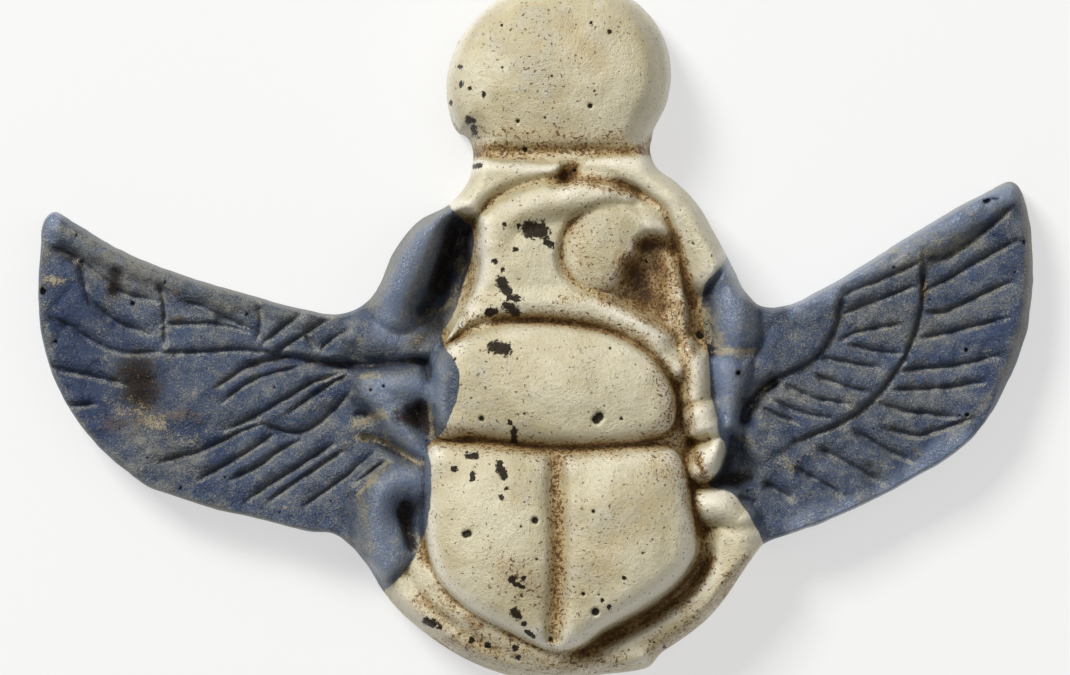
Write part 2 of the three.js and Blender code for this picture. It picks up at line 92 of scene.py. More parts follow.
def nearest(path, x, y, reach):
    """Which points lie within reach of a polyline, how far from it, its columns and share there."""
    low, high = path[:, :2].min(0) - reach, path[:, :2].max(0) + reach
    near = np.flatnonzero((x > low[0]) & (x < high[0]) & (y > low[1]) & (y < high[1]))
    start, run = path[:-1], np.diff(path, axis=0)
    length = np.maximum((run[:, :2] ** 2).sum(1), 1e-12)
    distances, columns, shares = [], [], []
    for part in np.array_split(near, len(near) * len(run) // PAIRS_AT_ONCE + 1):
        dx, dy = x[part, None] - start[:, 0], y[part, None] - start[:, 1]
        t = np.clip((dx * run[:, 0] + dy * run[:, 1]) / length, 0, 1)
        square = (dx - t * run[:, 0]) ** 2 + (dy - t * run[:, 1]) ** 2
        best = square.argmin(1)
        row = np.arange(len(part))
        distances.append(np.sqrt(square[row, best]))
        columns.append(start[best, 2:] + t[row, best, None] * run[best, 2:])
        shares.append((best + t[row, best]) / len(run))
    distance = np.concatenate(distances)
    close = distance < reach
    return near[close], distance[close], np.concatenate(columns)[close], np.concatenate(shares)[close]


def inside(path, x, y):
    """Which points lie inside a closed polyline."""
    held = np.zeros(len(x), bool)
    box = (x > path[:, 0].min()) & (x < path[:, 0].max()) & (y > path[:, 1].min()) & (y < path[:, 1].max())
    near = np.flatnonzero(box)
    px, py = x[near], y[near]
    odd = np.zeros(len(near), bool)
    for (ax, ay), (bx, by) in zip(path[:-1, :2], path[1:, :2]):
        if ay != by:
            odd ^= ((ay > py) != (by > py)) & (px < ax + (py - ay) / (by - ay) * (bx - ax))
    held[near] = odd
    return held


def depth_inside(path, x, y, reach):
    """How deep each point lies inside a closed polyline, minus outside, and at most the reach."""
    depth = np.full(len(x), float(reach))
    near, distance, _, _ = nearest(path, x, y, reach)
    depth[near] = distance
    return np.where(inside(path, x, y), depth, -depth)


def lumps(x, y, size, seed):
    """Smooth unevenness between -1 and 1, with swells of the given size."""
    values = np.random.default_rng(seed).uniform(-1, 1, (LATTICE, LATTICE))
    u, v = x / size + 60, y / size + 60
    i, j = np.floor(u).astype(int), np.floor(v).astype(int)
    across, along = eased(u - i), eased(v - j)
    i, j, next_i, next_j = i % LATTICE, j % LATTICE, (i + 1) % LATTICE, (j + 1) % LATTICE
    left = values[i, j] * (1 - along) + values[i, next_j] * along
    right = values[next_i, j] * (1 - along) + values[next_i, next_j] * along
    return left * (1 - across) + right * across


def rounded(depth, width):
    """A quarter-round rise from 0 at an edge to 1 at the given width."""
    left = 1 - np.clip(depth / width, 0, 1)
    return np.sqrt(1 - left * left)


def eased(share):
    """A share kept between 0 and 1, with a soft start and a soft end."""
    share = np.clip(share, 0, 1)
    return share * share * (3 - 2 * share)


def blend(a, b, fillet):
    """The larger of two heights, with the corner between them filled."""
    share = np.clip(0.5 + 0.5 * (b - a) / fillet, 0, 1)
    return a + share * (b - a) + fillet * share * (1 - share)


# The disk's edge is an ellipse that leans a little, cut off where the forelegs' neck meets it.
DISK_CENTRE = (1.15, 12.43)
DISK_HALF_WIDTH = 5.65
DISK_HALF_HEIGHT = 5.2
DISK_LEAN = 0.08
DISK_NECK = 0.5


def disk_arc(first, last, count):
    """Points on the disk's edge, from one angle to another."""
    angle = np.linspace(first, last, count)
    rise = DISK_HALF_HEIGHT * np.sin(angle)
    across = DISK_HALF_WIDTH * np.cos(angle) + DISK_LEAN * rise
    return np.stack([DISK_CENTRE[0] + across, DISK_CENTRE[1] + rise], axis=1).tolist()


left_neck = [[-3.5, 9.63], [-3.2, 9.03], [-3.2, 8.3], [-3.42, 7.42]]
left_foreleg_side = [[-4.35, 6.3], [-5.95, 5.4], [-7.2, 3.85], [-7.9, 2.2], [-8.85, 1.1]]
left_leading_edge = [[-10.1, 0.75], [-11.8, 1.02], [-14.05, 1.64], [-16.55, 2.35], [-18.8, 3.08],
                     [-21.3, 4.18], [-23.6, 5.6]]
left_wing_tip = [[-24.25, 5.93], [-24.75, 5.45]]
left_trailing_edge = [[-25, 3.67], [-25.05, 1.43], [-24.75, -1.07], [-24.02, -3.1], [-22.85, -5.02],
                      [-21.42, -6.5], [-19.6, -7.92], [-17.3, -8.78], [-14.3, -9.55], [-11.3, -10.25],
                      [-10.15, -10.38]]
left_armpit = [[-9.35, -10.95], [-8.5, -12], [-7.6, -13.38]]
base_edge = [[-6.68, -14.45], [-5.15, -15.68], [-3.38, -16.75], [-1.3, -17.5], [0.95, -17.72],
             [3.45, -17.42], [5.65, -17.08], [6.3, -16.38], [7.68, -15.42], [8.85, -14.4],
             [10.1, -12.8], [10.85, -11.6]]
right_armpit = [[11.45, -10.88]]
right_trailing_edge = [[13.2, -10.25], [16.2, -9.05], [18.7, -7.75], [20.7, -6.6], [22.3, -5.17],
                       [23.6, -3.08], [24.5, -1.07], [25.05, 1.93], [25, 4.42], [24.65, 6.33]]
right_wing_tip = [[24.25, 7.25], [23.8, 7.42]]
right_leading_edge = [[22.95, 7], [20.7, 5.82], [17.7, 4.02], [14.7, 2.2], [12.7, 1.25], [11.45, 1.15]]
right_foreleg_side = [[10.65, 1.75], [9.95, 3.05], [9.12, 4.6], [8.15, 6.25], [7.1, 7.35]]
right_neck = [[6.1, 8.1], [5.77, 8.95], [5.87, 9.63]]
outline = smooth_curve(
    left_neck + left_foreleg_side + left_leading_edge + left_wing_tip + left_trailing_edge + left_armpit
    + base_edge + right_armpit + right_trailing_edge + right_wing_tip + right_leading_edge
    + right_foreleg_side + right_neck + disk_arc(-DISK_NECK, np.pi + DISK_NECK, 15),
    closed=True,
)

# Each cut is a function that changes the heights of the face's points. The lines of narrow grooves get
# rows of points of their own in the mesh. Outside its outline a swelling falls off as a steep skirt.
cuts = []
narrow_lines = []
ROWS_BELOW_WIDTH = 0.35
RIDGE_REACH = 2.4
GROOVE_REACH = 3
SKIRT_SLOPE = 2.6
SKIRT_REACH = 1.6
CROWN_FALL = 1.2
SWELLING_REACH = 2.5


def ridge(points, half_width, fillet=0.35):
    """A round-backed ridge. A point's third number is its crest height, a fourth scales the width."""
    path = smooth_curve([[*p, 1] if len(p) == 3 else p for p in points])

    def cut(x, y, z):
        near, distance, columns, _ = nearest(path, x, y, RIDGE_REACH * half_width)
        crest = columns[:, 0] - distance ** 2 / (half_width * columns[:, 1])
        z[near] = blend(z[near], crest, fillet)

    cuts.append(cut)


def swelling(points, edge, top, round_width, fillet=0.3, crown=0):
    """A swelling with a rounded edge inside a closed outline, and a dome of the crown's height on it."""
    path = smooth_curve(points, closed=True)
    low, high = path[:, :2].min(0), path[:, :2].max(0)
    middle, half = (low + high) / 2, (high - low) / 2

    def cut(x, y, z):
        depth = depth_inside(path, x, y, max(round_width, SWELLING_REACH))
        out = ((x - middle[0]) / half[0]) ** 2 + ((y - middle[1]) / half[1]) ** 2
        risen = edge + (top - edge) * rounded(depth, round_width)
        height = np.where(depth < 0, edge + SKIRT_SLOPE * depth, risen) + crown * np.exp(-CROWN_FALL * out)
        near = depth > -SKIRT_REACH
        z[near] = blend(z[near], height[near], fillet)

    cuts.append(cut)


def bulge(x0, y0, half_x, half_y, lift, turn=0):
    """A soft oval rise on whatever is there, or with a minus a soft dip."""
    cosine, sine = np.cos(np.radians(turn)), np.sin(np.radians(turn))

    def cut(x, y, z):
        u = ((x - x0) * cosine + (y - y0) * sine) / half_x
        v = ((y - y0) * cosine - (x - x0) * sine) / half_y
        z += lift * np.exp(-2 * (u * u + v * v) ** 1.5)

    cuts.append(cut)


def groove(points, depth, width, fade=0.12, ends=0.25):
    """A soft groove that fades towards its ends."""
    path = smooth_curve(points)
    if width < ROWS_BELOW_WIDTH:
        narrow_lines.append(path)

    def cut(x, y, z):
        near, distance, _, share = nearest(path, x, y, GROOVE_REACH * width)
        fading = ends + (1 - ends) * eased(np.minimum(share, 1 - share) / fade)
        z[near] -= depth * fading * np.exp(-((distance / width) ** 2))

    cuts.append(cut)


def hollow(points, floor, wall, amount=1):
    """A sunk field with a floor of its own and a wall of the given width."""
    path = smooth_curve(points, closed=True)

    def cut(x, y, z):
        share = amount * eased(0.5 + 0.5 * depth_inside(path, x, y, wall) / wall)
        z += share * (np.minimum(z, floor) - z)

    cuts.append(cut)


def terrace(points, lift, wall):
    """A field that stands above its surroundings by an even lift."""
    path = smooth_curve(points, closed=True)

    def cut(x, y, z):
        z += lift * eased(0.5 + 0.5 * depth_inside(path, x, y, wall) / wall)

    cuts.append(cut)


# Wings: a plain face, a little thinner towards the tips, in steps where one row of feathers lies on
# the next. A roll runs along each leading edge, and narrow grooves part the feathers.
WING_HEIGHT = 3.75
WING_THINNING = 0.03
WING_ROOT = 8
ROW_LIFT = 0.3

terrace([[-18.9, 2.7], [-18.9, 0.2], [-18.7, -1.3], [-16.8, -1.3], [-13.2, -1.4], [-13.5, 0.5], [-14, 1.4]],
        ROW_LIFT, 0.35)
terrace([[-13.9, 1.3], [-13.6, -0.6], [-13, -1.5], [-10, -1.6], [-9, -0.6], [-9.3, 0.6], [-11.6, 0.9]],
        ROW_LIFT, 0.3)
bulge(-12.4, -3.3, 3.6, 1.7, 0.3, 20)
terrace([[15.5, 2.5], [19.4, 4.6], [19.4, 2.5], [19.3, 0.9], [18.4, -1.6], [16.7, -3.8], [15.2, -4.8],
         [12.9, -5.7], [11, -6.6], [10.2, -4], [12, 0]], ROW_LIFT, 0.3)
terrace([[15.5, 2.5], [15.2, 0.8], [14.9, -0.2], [14.2, -1.3], [13.6, -1.8], [11.9, -2.6], [10.4, -3.8],
         [10.2, -1], [12, 1.2]], 1.3 * ROW_LIFT, 0.25)
ridge([[-11.5, 0.45, 3.95], [-14, 1.05, 4], [-18.3, 2.35, 3.9], [-21.4, 3.6, 3.75], [-23.9, 5, 3.5]],
      0.6, 0.5)
ridge([[12.3, 0.75, 4.15], [15, 1.8, 4.1], [19.5, 4.4, 3.95], [23.3, 6.5, 3.7]], 1.8, 0.5)

left_tip_feathers = [
    [[-24.6, 4.2], [-23.1, 3.5], [-21.6, 2.4], [-20.8, 1.8], [-18.8, 1.3]],
    [[-22.9, 3.4], [-22.6, 2.2], [-22.2, 1.2], [-20.8, 0.2], [-19.3, -0.3]],
    [[-24.4, 0.5], [-23.8, 0.3], [-22.3, -0.6], [-20.8, -1.2], [-18.8, -1.2]],
    [[-24.6, -1.9], [-22.8, -2.3], [-20.6, -2.8]],
    [[-23.6, -3.9], [-22.1, -3.8]],
]
left_coverts = [
    [[-18.8, -1.2], [-16.8, -1.2], [-15.3, -1.1], [-13.4, -1.2]],
    [[-17.8, 1.4], [-16.8, 1.1], [-15.8, 0.6], [-14.2, -0.1]],
    [[-18.8, 0.2], [-17.3, 0.2], [-16.1, 0.2], [-14.1, -0.2]],
    [[-13.9, 1.2], [-13.75, 0.2], [-13.9, -0.5]],
    [[-18.9, 2.3], [-18.6, 1.2], [-18.6, 0], [-18.5, -1]],
]
left_shoulder = [
    [[-13.7, -0.8], [-12.3, 0.3], [-11.6, 0.8]],
    [[-13.1, -1.3], [-11.6, -0.3], [-10.3, 0.5]],
    [[-10.8, -1.1], [-10.1, -0.5], [-9.3, -0.1]],
    [[-11.6, -0.3], [-10.9, -1.1]],
]
left_upper_lobe = [
    [[-12.6, -1.5], [-14.1, -1.8], [-16.1, -3]],
    [[-11.3, -1.8], [-14.1, -2.6], [-15.7, -3.7]],
    [[-9.6, -2.2], [-11.3, -2.8], [-12.1, -3.3], [-14.8, -4.8], [-15.6, -5.1]],
    [[-9.3, -2.3], [-10.3, -2.8], [-12.3, -4.2]],
    [[-13.6, -4.8], [-12.6, -5.2], [-11.6, -5.2], [-10.1, -4.1], [-9.3, -3.2]],
]
left_lower_lobe = [
    [[-13.8, -4.8], [-14.8, -5.2], [-16.6, -6.1], [-18.8, -6.7]],
    [[-13.1, -5.3], [-14.6, -6.3], [-16.9, -7.6]],
    [[-11.8, -5.6], [-13.1, -6.3], [-13.7, -6.8], [-15.3, -7.6]],
    [[-10.1, -5.8], [-13.1, -7.7], [-14.6, -8.7]],
    [[-9.6, -6.1], [-12.6, -8.1], [-13.3, -8.6]],
    [[-8.1, -6.3], [-9.6, -7.5], [-11.6, -8.9]],
    [[-7.5, -6.6], [-9.1, -7.8]],
]
right_row_edges = [
    [[15.4, 2], [14.9, -0.2], [14.2, -1.3], [13.6, -1.8], [11.9, -2.6], [10.6, -3.7]],
    [[19.4, 3.9], [19.3, 0.9], [18.4, -1.6], [16.7, -3.8], [15.2, -4.8], [12.9, -5.7]],
]
right_coverts = [
    [[15.2, 1.6], [17.2, 2.4], [19.2, 3.3]],
    [[15.3, 0.7], [17.2, 1.4], [18.9, 2.1]],
    [[15.2, -0.6], [16.2, -0.2], [18.2, 0.2]],
    [[15.7, -0.8], [16.7, -1.1], [18.4, -1.3]],
    [[14.2, -1.4], [15.4, -1.7], [17.2, -2]],
    [[13.9, -2.3], [15.7, -3], [16.7, -3.2]],
    [[12.4, -2.8], [13.9, -3.5], [15.7, -3.8]],
    [[11.2, -3.3], [13.2, -4.2], [14.7, -4.5]],
    [[10.4, -3.6], [11.7, -4.2], [13.2, -4.8]],
]
right_flight_feathers = [
    [[19.7, 3.5], [20.4, 3.5], [22.4, 4.8], [23.9, 6.1]],
    [[19.4, 1.9], [20.4, 2.3], [21.9, 3.2], [24.1, 4.4]],
    [[19.4, 0.8], [20.4, 0.8], [22.2, 1.6], [23.8, 2.3]],
    [[19.3, -0.5], [20.4, -0.3], [22.4, 0.2], [23.6, 0.5]],
    [[18.4, -2.1], [20.9, -1.9], [23.2, -1.4]],
    [[17.9, -3.1], [20.4, -3], [22.4, -2.7]],
    [[17.2, -3.7], [18.2, -4.1], [19.7, -4.3], [21.2, -4.5]],
    [[17.4, -5], [19.2, -5.4], [19.9, -5.2], [21.9, -4.5]],
    [[15.9, -5.1], [17.4, -6], [18.9, -6.7]],
    [[14.2, -6], [16.2, -7.1], [17.5, -7.8]],
    [[12.9, -7], [13.9, -7.5], [15.4, -8.4]],
    [[11.4, -7.7], [12.9, -8.6]],
    [[10.2, -8.4], [11.1, -8.8]],
]
# Each feather line goes with its strength and the half width of its rounded shoulders.
feather_grooves = [
    *((line, 0.9, 0.34) for line in left_tip_feathers),
    *((line, 1, 0.28) for line in left_lower_lobe + left_upper_lobe),
    *((line, 0.8, 0.28) for line in left_coverts + left_shoulder),
    *((line, 1, 0.33) for line in right_flight_feathers),
    *((line, 0.8, 0.28) for line in right_coverts),
    *((line, 0.85, 0.3) for line in right_row_edges),
]

# Base: low ground under the body, with a rounded rim around the wing cases.
swelling(
    [[-7.1, -12.9], [-6.2, -8], [-6.3, -2], [-5, 0], [-2.5, 6.4], [4, 8], [7.6, 5.6], [9.2, 1], [9.6, -4],
     [10.4, -9.4], [9, -13.6], [5.4, -16.6], [1, -17.1], [-3.4, -16]],
    2.6, 4, 1.2,
)
ridge([[-7, -12.3, 4.5], [-6.1, -13.6, 4.7], [-4.6, -14.85, 4.7], [-2.3, -16.05, 4.6], [0.45, -16.75, 4.5],
       [3.2, -16.75, 4.5], [5.3, -16.25, 4.6]], 0.9)
ridge([[10.35, -10.3, 5], [9.95, -11.6, 5], [8.95, -13.3, 4.9], [7.45, -14.8, 4.7], [5.95, -15.8, 4.5]],
      1.15)

# Wing cases: two long shields side by side, full and smooth, with a groove cut between them.
swelling(
    [[-5.3, -5.85], [-3, -5.6], [0.9, -5.95], [5.2, -5.8], [6.95, -6.1], [7.6, -7.6], [7.95, -10.1],
     [7.85, -11.4], [6.9, -12.7], [5.2, -13.9], [3.45, -14.9], [2.2, -15.8], [0.9, -16.1], [-0.05, -15.8],
     [-1.8, -14.9], [-3.55, -13.9], [-4.8, -12.6], [-5.4, -11], [-5.55, -8.6]],
    4.9, 6.5, 1.2, crown=0.9,
)
bulge(-2.35, -9.8, 3, 5.4, 0.45)
bulge(4.45, -9.8, 3, 5.4, 0.45)
groove([[0.95, -6.1], [1.05, -8.5], [1.1, -11.6], [0.95, -14], [0.8, -15.9]], 0.7, 0.5, 0.05)
# Bands between the wing cases and the rim, left and right, and the lines on them
ridge([[-6, -11, 4.7], [-5.35, -12.4, 5.2], [-4.15, -13.65, 5.45], [-2.4, -14.75, 5.45], [-0.6, -15.7, 5.3],
       [1, -16.35, 5]], 1, 0.5)
ridge([[9.4, -10.5, 4.9], [9, -12, 4.9], [7.9, -13.4, 4.8], [6.5, -14.6, 4.7], [5.1, -15.4, 4.6],
       [3.6, -16.1, 4.5]], 1.1, 0.5)
groove([[8.8, -10.4], [8.5, -11.6], [7.6, -12.9], [6.2, -14.1], [4.9, -14.9], [3.7, -15.5], [2.4, -16.2]],
       0.85, 0.38, 0.2, 0.3)
groove([[-5.9, -10.9], [-5.5, -12.6], [-4.6, -13.4], [-3.2, -14.2]], 0.15, 0.35, 0.2)
groove([[-3.8, -14.5], [-1.8, -15.2], [0.4, -16], [1.5, -16.5]], 0.15, 0.35, 0.2)

# Pronotum: the broad shield behind the head, rounded at both ends.
swelling(
    [[-4.4, -0.85], [-3.3, -0.2], [-1.8, 0.25], [0.2, 0.3], [2.2, 0.15], [3.95, -0.2], [5.2, -0.85],
     [6.2, -1.7], [6.8, -2.8], [7, -3.85], [6.7, -5], [5.2, -5.7], [0.9, -5.92], [-3, -5.5],
     [-4.9, -5.4], [-5.4, -3.4], [-5.2, -2.1]],
    5.1, 6.5, 1.1, crown=1,
)
ridge([[-5, -5.5, 5.1], [-3, -5.55, 5.7], [0.9, -5.93, 5.95], [5.2, -5.75, 5.7], [6.7, -5.5, 5.1]],
      1.3, 0.6)
groove([[-5, -5.45], [-3, -5.52], [0.9, -5.93], [5.2, -5.75], [6.5, -5.4]], 0.2, 0.34, 0.1)

# Head: one smooth band that turns like a C from the brow over the left cheek into the collar. A
# round boss fills it, with a small nose beside it and a deep recess under the nose.
swelling(
    [[-2.9, 5.4], [-1.8, 6.5], [-0.3, 6.8], [1.7, 7.05], [3.2, 7.05], [4.2, 6.9], [5.2, 6.4], [6.1, 5.8],
     [6.9, 4.6], [7.3, 2.4], [7.6, 0.4], [7.7, -1.2], [7.6, -2.2], [6.9, -2.6], [5.9, -1.3], [4.6, -0.4],
     [3, 0.2], [1.2, 0.5], [-0.5, 0.55], [-2.2, 0.4], [-3.8, -0.3], [-4.5, -0.7], [-3.7, 0.8], [-2.9, 2.4],
     [-2.75, 4.2]],
    4.9, 6, 0.8, 0.4, crown=0.5,
)
# The sunk field inside the band, then the brow, the cheek and the collar
hollow([[5.2, 6.3], [4.3, 6.35], [3.2, 6.1], [2.45, 5.75], [1.75, 5.2], [1.35, 4.4], [1.15, 3.6],
        [1.3, 2.8], [1.8, 2.3], [2.5, 1.85], [3.4, 1.55], [4.6, 1.2], [5.7, 0.5], [6.7, -0.3], [7.4, -1.2],
        [7.7, 0.4], [7.3, 2.4], [6.9, 4.6], [6.1, 5.8]], 5.6, 0.35)
ridge([[-2, 4.4, 6.3], [-1.5, 5.4, 6.7], [-0.3, 6.05, 6.95], [1.2, 6.35, 7], [2.6, 6.55, 6.85],
       [3.6, 6.6, 6.6], [4.3, 6.55, 6.2, 0.6]], 1.1, 0.6)
bulge(-1, 3.2, 2.1, 2.9, 0.35)
ridge([[-3.3, 0.2, 6.1], [-2, 1.1, 6.55], [-0.5, 1.35, 6.75], [1.3, 1.25, 6.8], [3, 0.9, 6.75],
       [4.6, 0.3, 6.65], [5.9, -0.7, 6.4], [6.9, -1.9, 6]], 1, 0.6)
# Boss and nose
swelling([[1.4, 4.3], [1.75, 5.1], [2.5, 5.75], [3.6, 6.1], [4.7, 6], [5.3, 5.2], [5.3, 4.3], [4.9, 3.2],
          [4.1, 2.3], [3.3, 1.9], [2.3, 2.1], [1.6, 3]], 5.8, 6.3, 1.2, 0.4, crown=0.5)
swelling([[4.4, 6], [5.4, 6], [6.2, 5.4], [6.6, 4.7], [5.9, 4.4], [5.3, 4.5], [4.6, 5.1]], 5.2, 6, 0.9, 0.6,
         crown=0.3)
# Recess under the nose, with a low ridge along its right side and a dip below
hollow([[5.3, 4.3], [6.3, 4.5], [6.9, 4.4], [7, 3.9], [6.4, 3.75], [5.4, 3.5]], 4.8, 0.6)
hollow([[5.3, 3.6], [6.9, 3.9], [7.05, 2.2], [7.2, 0.8], [6.4, 0.2], [5.5, 0.8], [4.2, 1.5], [4.3, 2.1]],
       4.8, 0.7)
ridge([[6.5, 3.4, 4.9], [6.7, 2, 5], [6.9, 0.4, 5.1]], 0.6, 0.6)
bulge(7.2, -0.6, 0.9, 1.2, -0.5)
# Lines around the boss and around the pronotum's top and right side
groove([[4.4, 6.4], [3.3, 6.2], [2.4, 5.8], [1.65, 5.2], [1.25, 4.4], [1.05, 3.6], [1.2, 2.8], [1.75, 2.25],
        [2.5, 1.8], [3.4, 1.5]], 0.12, 0.22)
groove([[-4.6, -0.85], [-3.4, -0.05], [-2.2, 0.45], [-0.5, 0.5], [1.2, 0.42], [3, 0.1], [4.6, -0.55],
        [5.9, -1.45], [6.75, -2.7], [7.1, -3.9], [6.9, -5.1]], 0.3, 0.2, 0.08)

# Forelegs: two broad bands that rise from the wings' shoulders and meet under the disk. Each has its
# crest near the outer edge and slants down to the head.
swelling([[-3.3, 8.4], [-1.5, 8.5], [0.5, 8.45], [1.4, 8.2], [1.2, 7.6], [-0.2, 7.2], [-1.2, 6.9],
          [-2.2, 6.4], [-3, 5.7], [-4, 5.5], [-4.6, 6], [-3.9, 7.2]], 4.9, 6, 0.7, crown=0.1)
ridge([[-2.6, 7.7, 5.7, 0.8], [-4, 6.4, 5.9], [-5.1, 5.2, 5.9], [-6, 3.8, 5.8], [-6.7, 2.2, 5.6],
       [-7.2, 0.6, 5]], 1.3, 0.5)
ridge([[2.3, 8.3, 5.6, 0.8], [4.2, 8.1, 5.9], [5.9, 7.3, 6], [7.3, 5.9, 6.05], [8.3, 4.2, 6],
       [8.7, 3.2, 5.9]], 1.6, 0.5)
# Seat of the disk, the notch where the forelegs meet, and the strip and lines along their inner edges
disk_seat = [[-3.4, 8.72], [-1, 8.7], [2, 8.8], [4.5, 8.75], [6.1, 8.75]]
groove(disk_seat, 0.25, 0.5, 0.03)
groove(disk_seat, 0.2, 0.2, 0.03, 0.5)
groove([[2, 9], [1.8, 8.2], [1.5, 7.5], [0.9, 7.2]], 1, 0.34, 0.3)
ridge([[-2.8, 5.9, 5.3], [-1.8, 6.75, 5.6], [-0.8, 7.05, 5.65], [0.3, 7.25, 5.5]], 1, 0.5)
groove([[-3, 5.5], [-2, 6.65], [-0.8, 7], [0.4, 7.25], [1.5, 7.45]], 0.12, 0.25)
groove([[1.7, 7.5], [3.2, 7.4], [4.4, 7.15], [5.6, 6.55], [6.4, 5.9], [6.8, 4.7], [7.1, 3.3], [7.4, 1.9],
        [7.8, 0.6]], 0.45, 0.2)
groove([[9.65, 3.7], [9.2, 2.9], [8.7, 2.1], [8.35, 1.6]], 0.5, 0.16)

# Pit between the left foreleg and the head, the deepest place of the relief.
hollow([[-4.1, 5.5], [-3.3, 5.2], [-3.4, 4.1], [-3.8, 2.9], [-4.4, 1.9], [-5, 1.2], [-5.6, 0.6],
        [-5.9, 0.9], [-5.5, 1.9], [-5.1, 2.9], [-4.6, 4.2]], 1.9, 0.75)
bulge(-4.6, 0.6, 1.1, 1.3, -0.5, 40)

# Middle and hind legs: bent limbs on the left, a row of knuckles and a short arm on the right.
# Left middle leg: two short ridges above it, then the bent limb
ridge([[-8.9, -0.3, 4.7], [-7.9, -0.6, 4.9], [-7.3, -0.8, 4.7]], 1.2)
ridge([[-6.4, -1, 4.8], [-5.6, -0.9, 4.9], [-4.9, -0.9, 4.7, 0.8]], 0.8)
swelling([[-8.7, -2.3], [-8, -2], [-6.8, -1.9], [-5.8, -2.1], [-5.3, -2.6], [-5.3, -3.3], [-5.8, -3.7],
          [-6.1, -4.1], [-5.9, -4.7], [-5.6, -5.4], [-5.3, -6.1], [-5.25, -6.8], [-5.9, -6.5], [-6.6, -5.95],
          [-7.3, -5.4], [-7.8, -4.7], [-8.3, -4], [-8.8, -3.2]], 4.3, 5.2, 0.8)
ridge([[-8.1, -2.9, 5.2], [-7.2, -2.8, 5.55], [-6.3, -2.8, 5.5], [-5.7, -3, 5.3]], 1.3, 0.6)
ridge([[-7.4, -3.7, 5.4], [-6.9, -4.6, 5.4], [-6.3, -5.4, 5.2], [-5.6, -6.3, 4.9, 0.8]], 0.85, 0.5)
# Left hind leg
swelling([[-7.2, -6.6], [-6.5, -6.5], [-5.9, -6.8], [-5.4, -7.2], [-5.3, -7.8], [-5.6, -8.3], [-6.3, -8.55],
          [-6.8, -8.85], [-6.9, -9.35], [-6.6, -10.1], [-6.2, -10.9], [-6.1, -11.5], [-6.7, -12.2],
          [-7.5, -12.9], [-8.2, -11.9], [-8.9, -11], [-9, -9.9], [-8.95, -8.8], [-8.5, -7.7], [-7.9, -7]],
         4.3, 5.1, 0.8)
ridge([[-7.9, -7.9, 5.4], [-7, -7.5, 5.6], [-6.2, -7.5, 5.5], [-5.7, -7.8, 5.3]], 1.2, 0.6)
ridge([[-7.7, -8.1, 5.6], [-8, -9.2, 5.5], [-7.9, -10.3, 5.3], [-7.4, -11.6, 5]], 1, 0.5)
# Lines, hollows and one thin ridge around the left legs
groove([[-13.3, -1.35], [-11.5, -1.6], [-9.6, -1.85], [-8.3, -1.9], [-6.8, -1.75], [-5.7, -1.7],
        [-5.25, -2.3], [-5.2, -3.4]], 0.8, 0.26, 0.1)
groove([[-8.9, -5.4], [-7.6, -5.8], [-6.6, -6.4], [-5.8, -6.8]], 0.6, 0.26)
groove([[-8.9, -8.2], [-8.1, -7.2], [-7.3, -6.6]], 0.4, 0.25)
groove([[-9.2, -4.4], [-8.5, -4.3], [-7.7, -4.7]], 0.35, 0.22)
hollow([[-6.2, -4.1], [-5.8, -4.2], [-5.3, -4], [-5.2, -5], [-5.7, -5.1], [-6, -4.7]], 4.1, 0.5)
hollow([[-6.8, -8.9], [-6.5, -8.9], [-6.25, -9.6], [-6.1, -10.5], [-6.2, -10.9], [-6.45, -10.4],
        [-6.7, -9.6]], 4.3, 0.4)
ridge([[-5.75, -8.4, 4.5], [-5.6, -9.5, 4.5], [-5.8, -10.5, 4.4]], 0.35, 0.2)
# Right side: the row of knuckles, the joint below it, and the lines between them
ridge([[7.7, -1.1, 5.9], [7.9, -2.2, 6], [7.95, -3.4, 5.9]], 0.6)
ridge([[8.2, -4.3, 6.2], [8.4, -4.85, 6.2]], 0.75, 0.2)
ridge([[8.95, -6, 6, 0.8], [8.6, -6.5, 6.2], [8.3, -7, 6.1, 0.9]], 0.62, 0.2)
ridge([[8.2, -8.8, 5.5], [9.2, -8.9, 5.6], [10.1, -9.5, 5.2]], 1, 0.3)
groove([[7.5, -5.7], [8.1, -5.6], [8.7, -5.35]], 0.5, 0.26)
groove([[7.4, -7.9], [8.4, -7.8], [9.4, -7.75]], 0.5, 0.28)
groove([[7.6, -8], [7.85, -9], [8.2, -9.9], [8.7, -10.3]], 0.5, 0.34)
# The short arm at their right, in two parts, with a hollow beside its top and one below its foot
hollow([[7.6, 1], [8.6, 0.9], [9.1, 0], [8.9, -0.8], [8.1, -1.1], [7.7, -0.3]], 4.1, 0.35, 0.8)
swelling([[9.7, 3.4], [10.2, 2.8], [10.6, 1.9], [11, 0.9], [11.2, -0.3], [10.8, -1], [9.9, -1.1],
          [9.3, -0.9], [8.9, -0.1], [8.75, 0.9], [8.85, 1.9], [9.25, 2.8]], 4.2, 5.2, 1.1, 0.9, crown=0.3)
swelling([[8.8, -1.4], [9.9, -1.5], [10.8, -1.4], [10.8, -2.2], [10.4, -3.3], [10.2, -4.6], [10, -5.5],
          [9.6, -6.1], [9.2, -5.5], [9, -4.5], [8.8, -3.6], [8.7, -2.5]], 4, 5, 0.8, 0.8, crown=0.2)
ridge([[9.9, 0.3, 5.2], [9.8, -1.2, 5.1], [9.7, -2.7, 5]], 1.1, 0.6)
hollow([[9.8, -5.3], [10.6, -6.2], [11, -7.2], [9.8, -7.75], [9.3, -7.4], [9.4, -6.6]], 2.9, 0.5)
groove([[12.2, -2.5], [11.3, -3.1], [10.7, -3.8], [10.3, -4.9]], 0.8, 0.35)

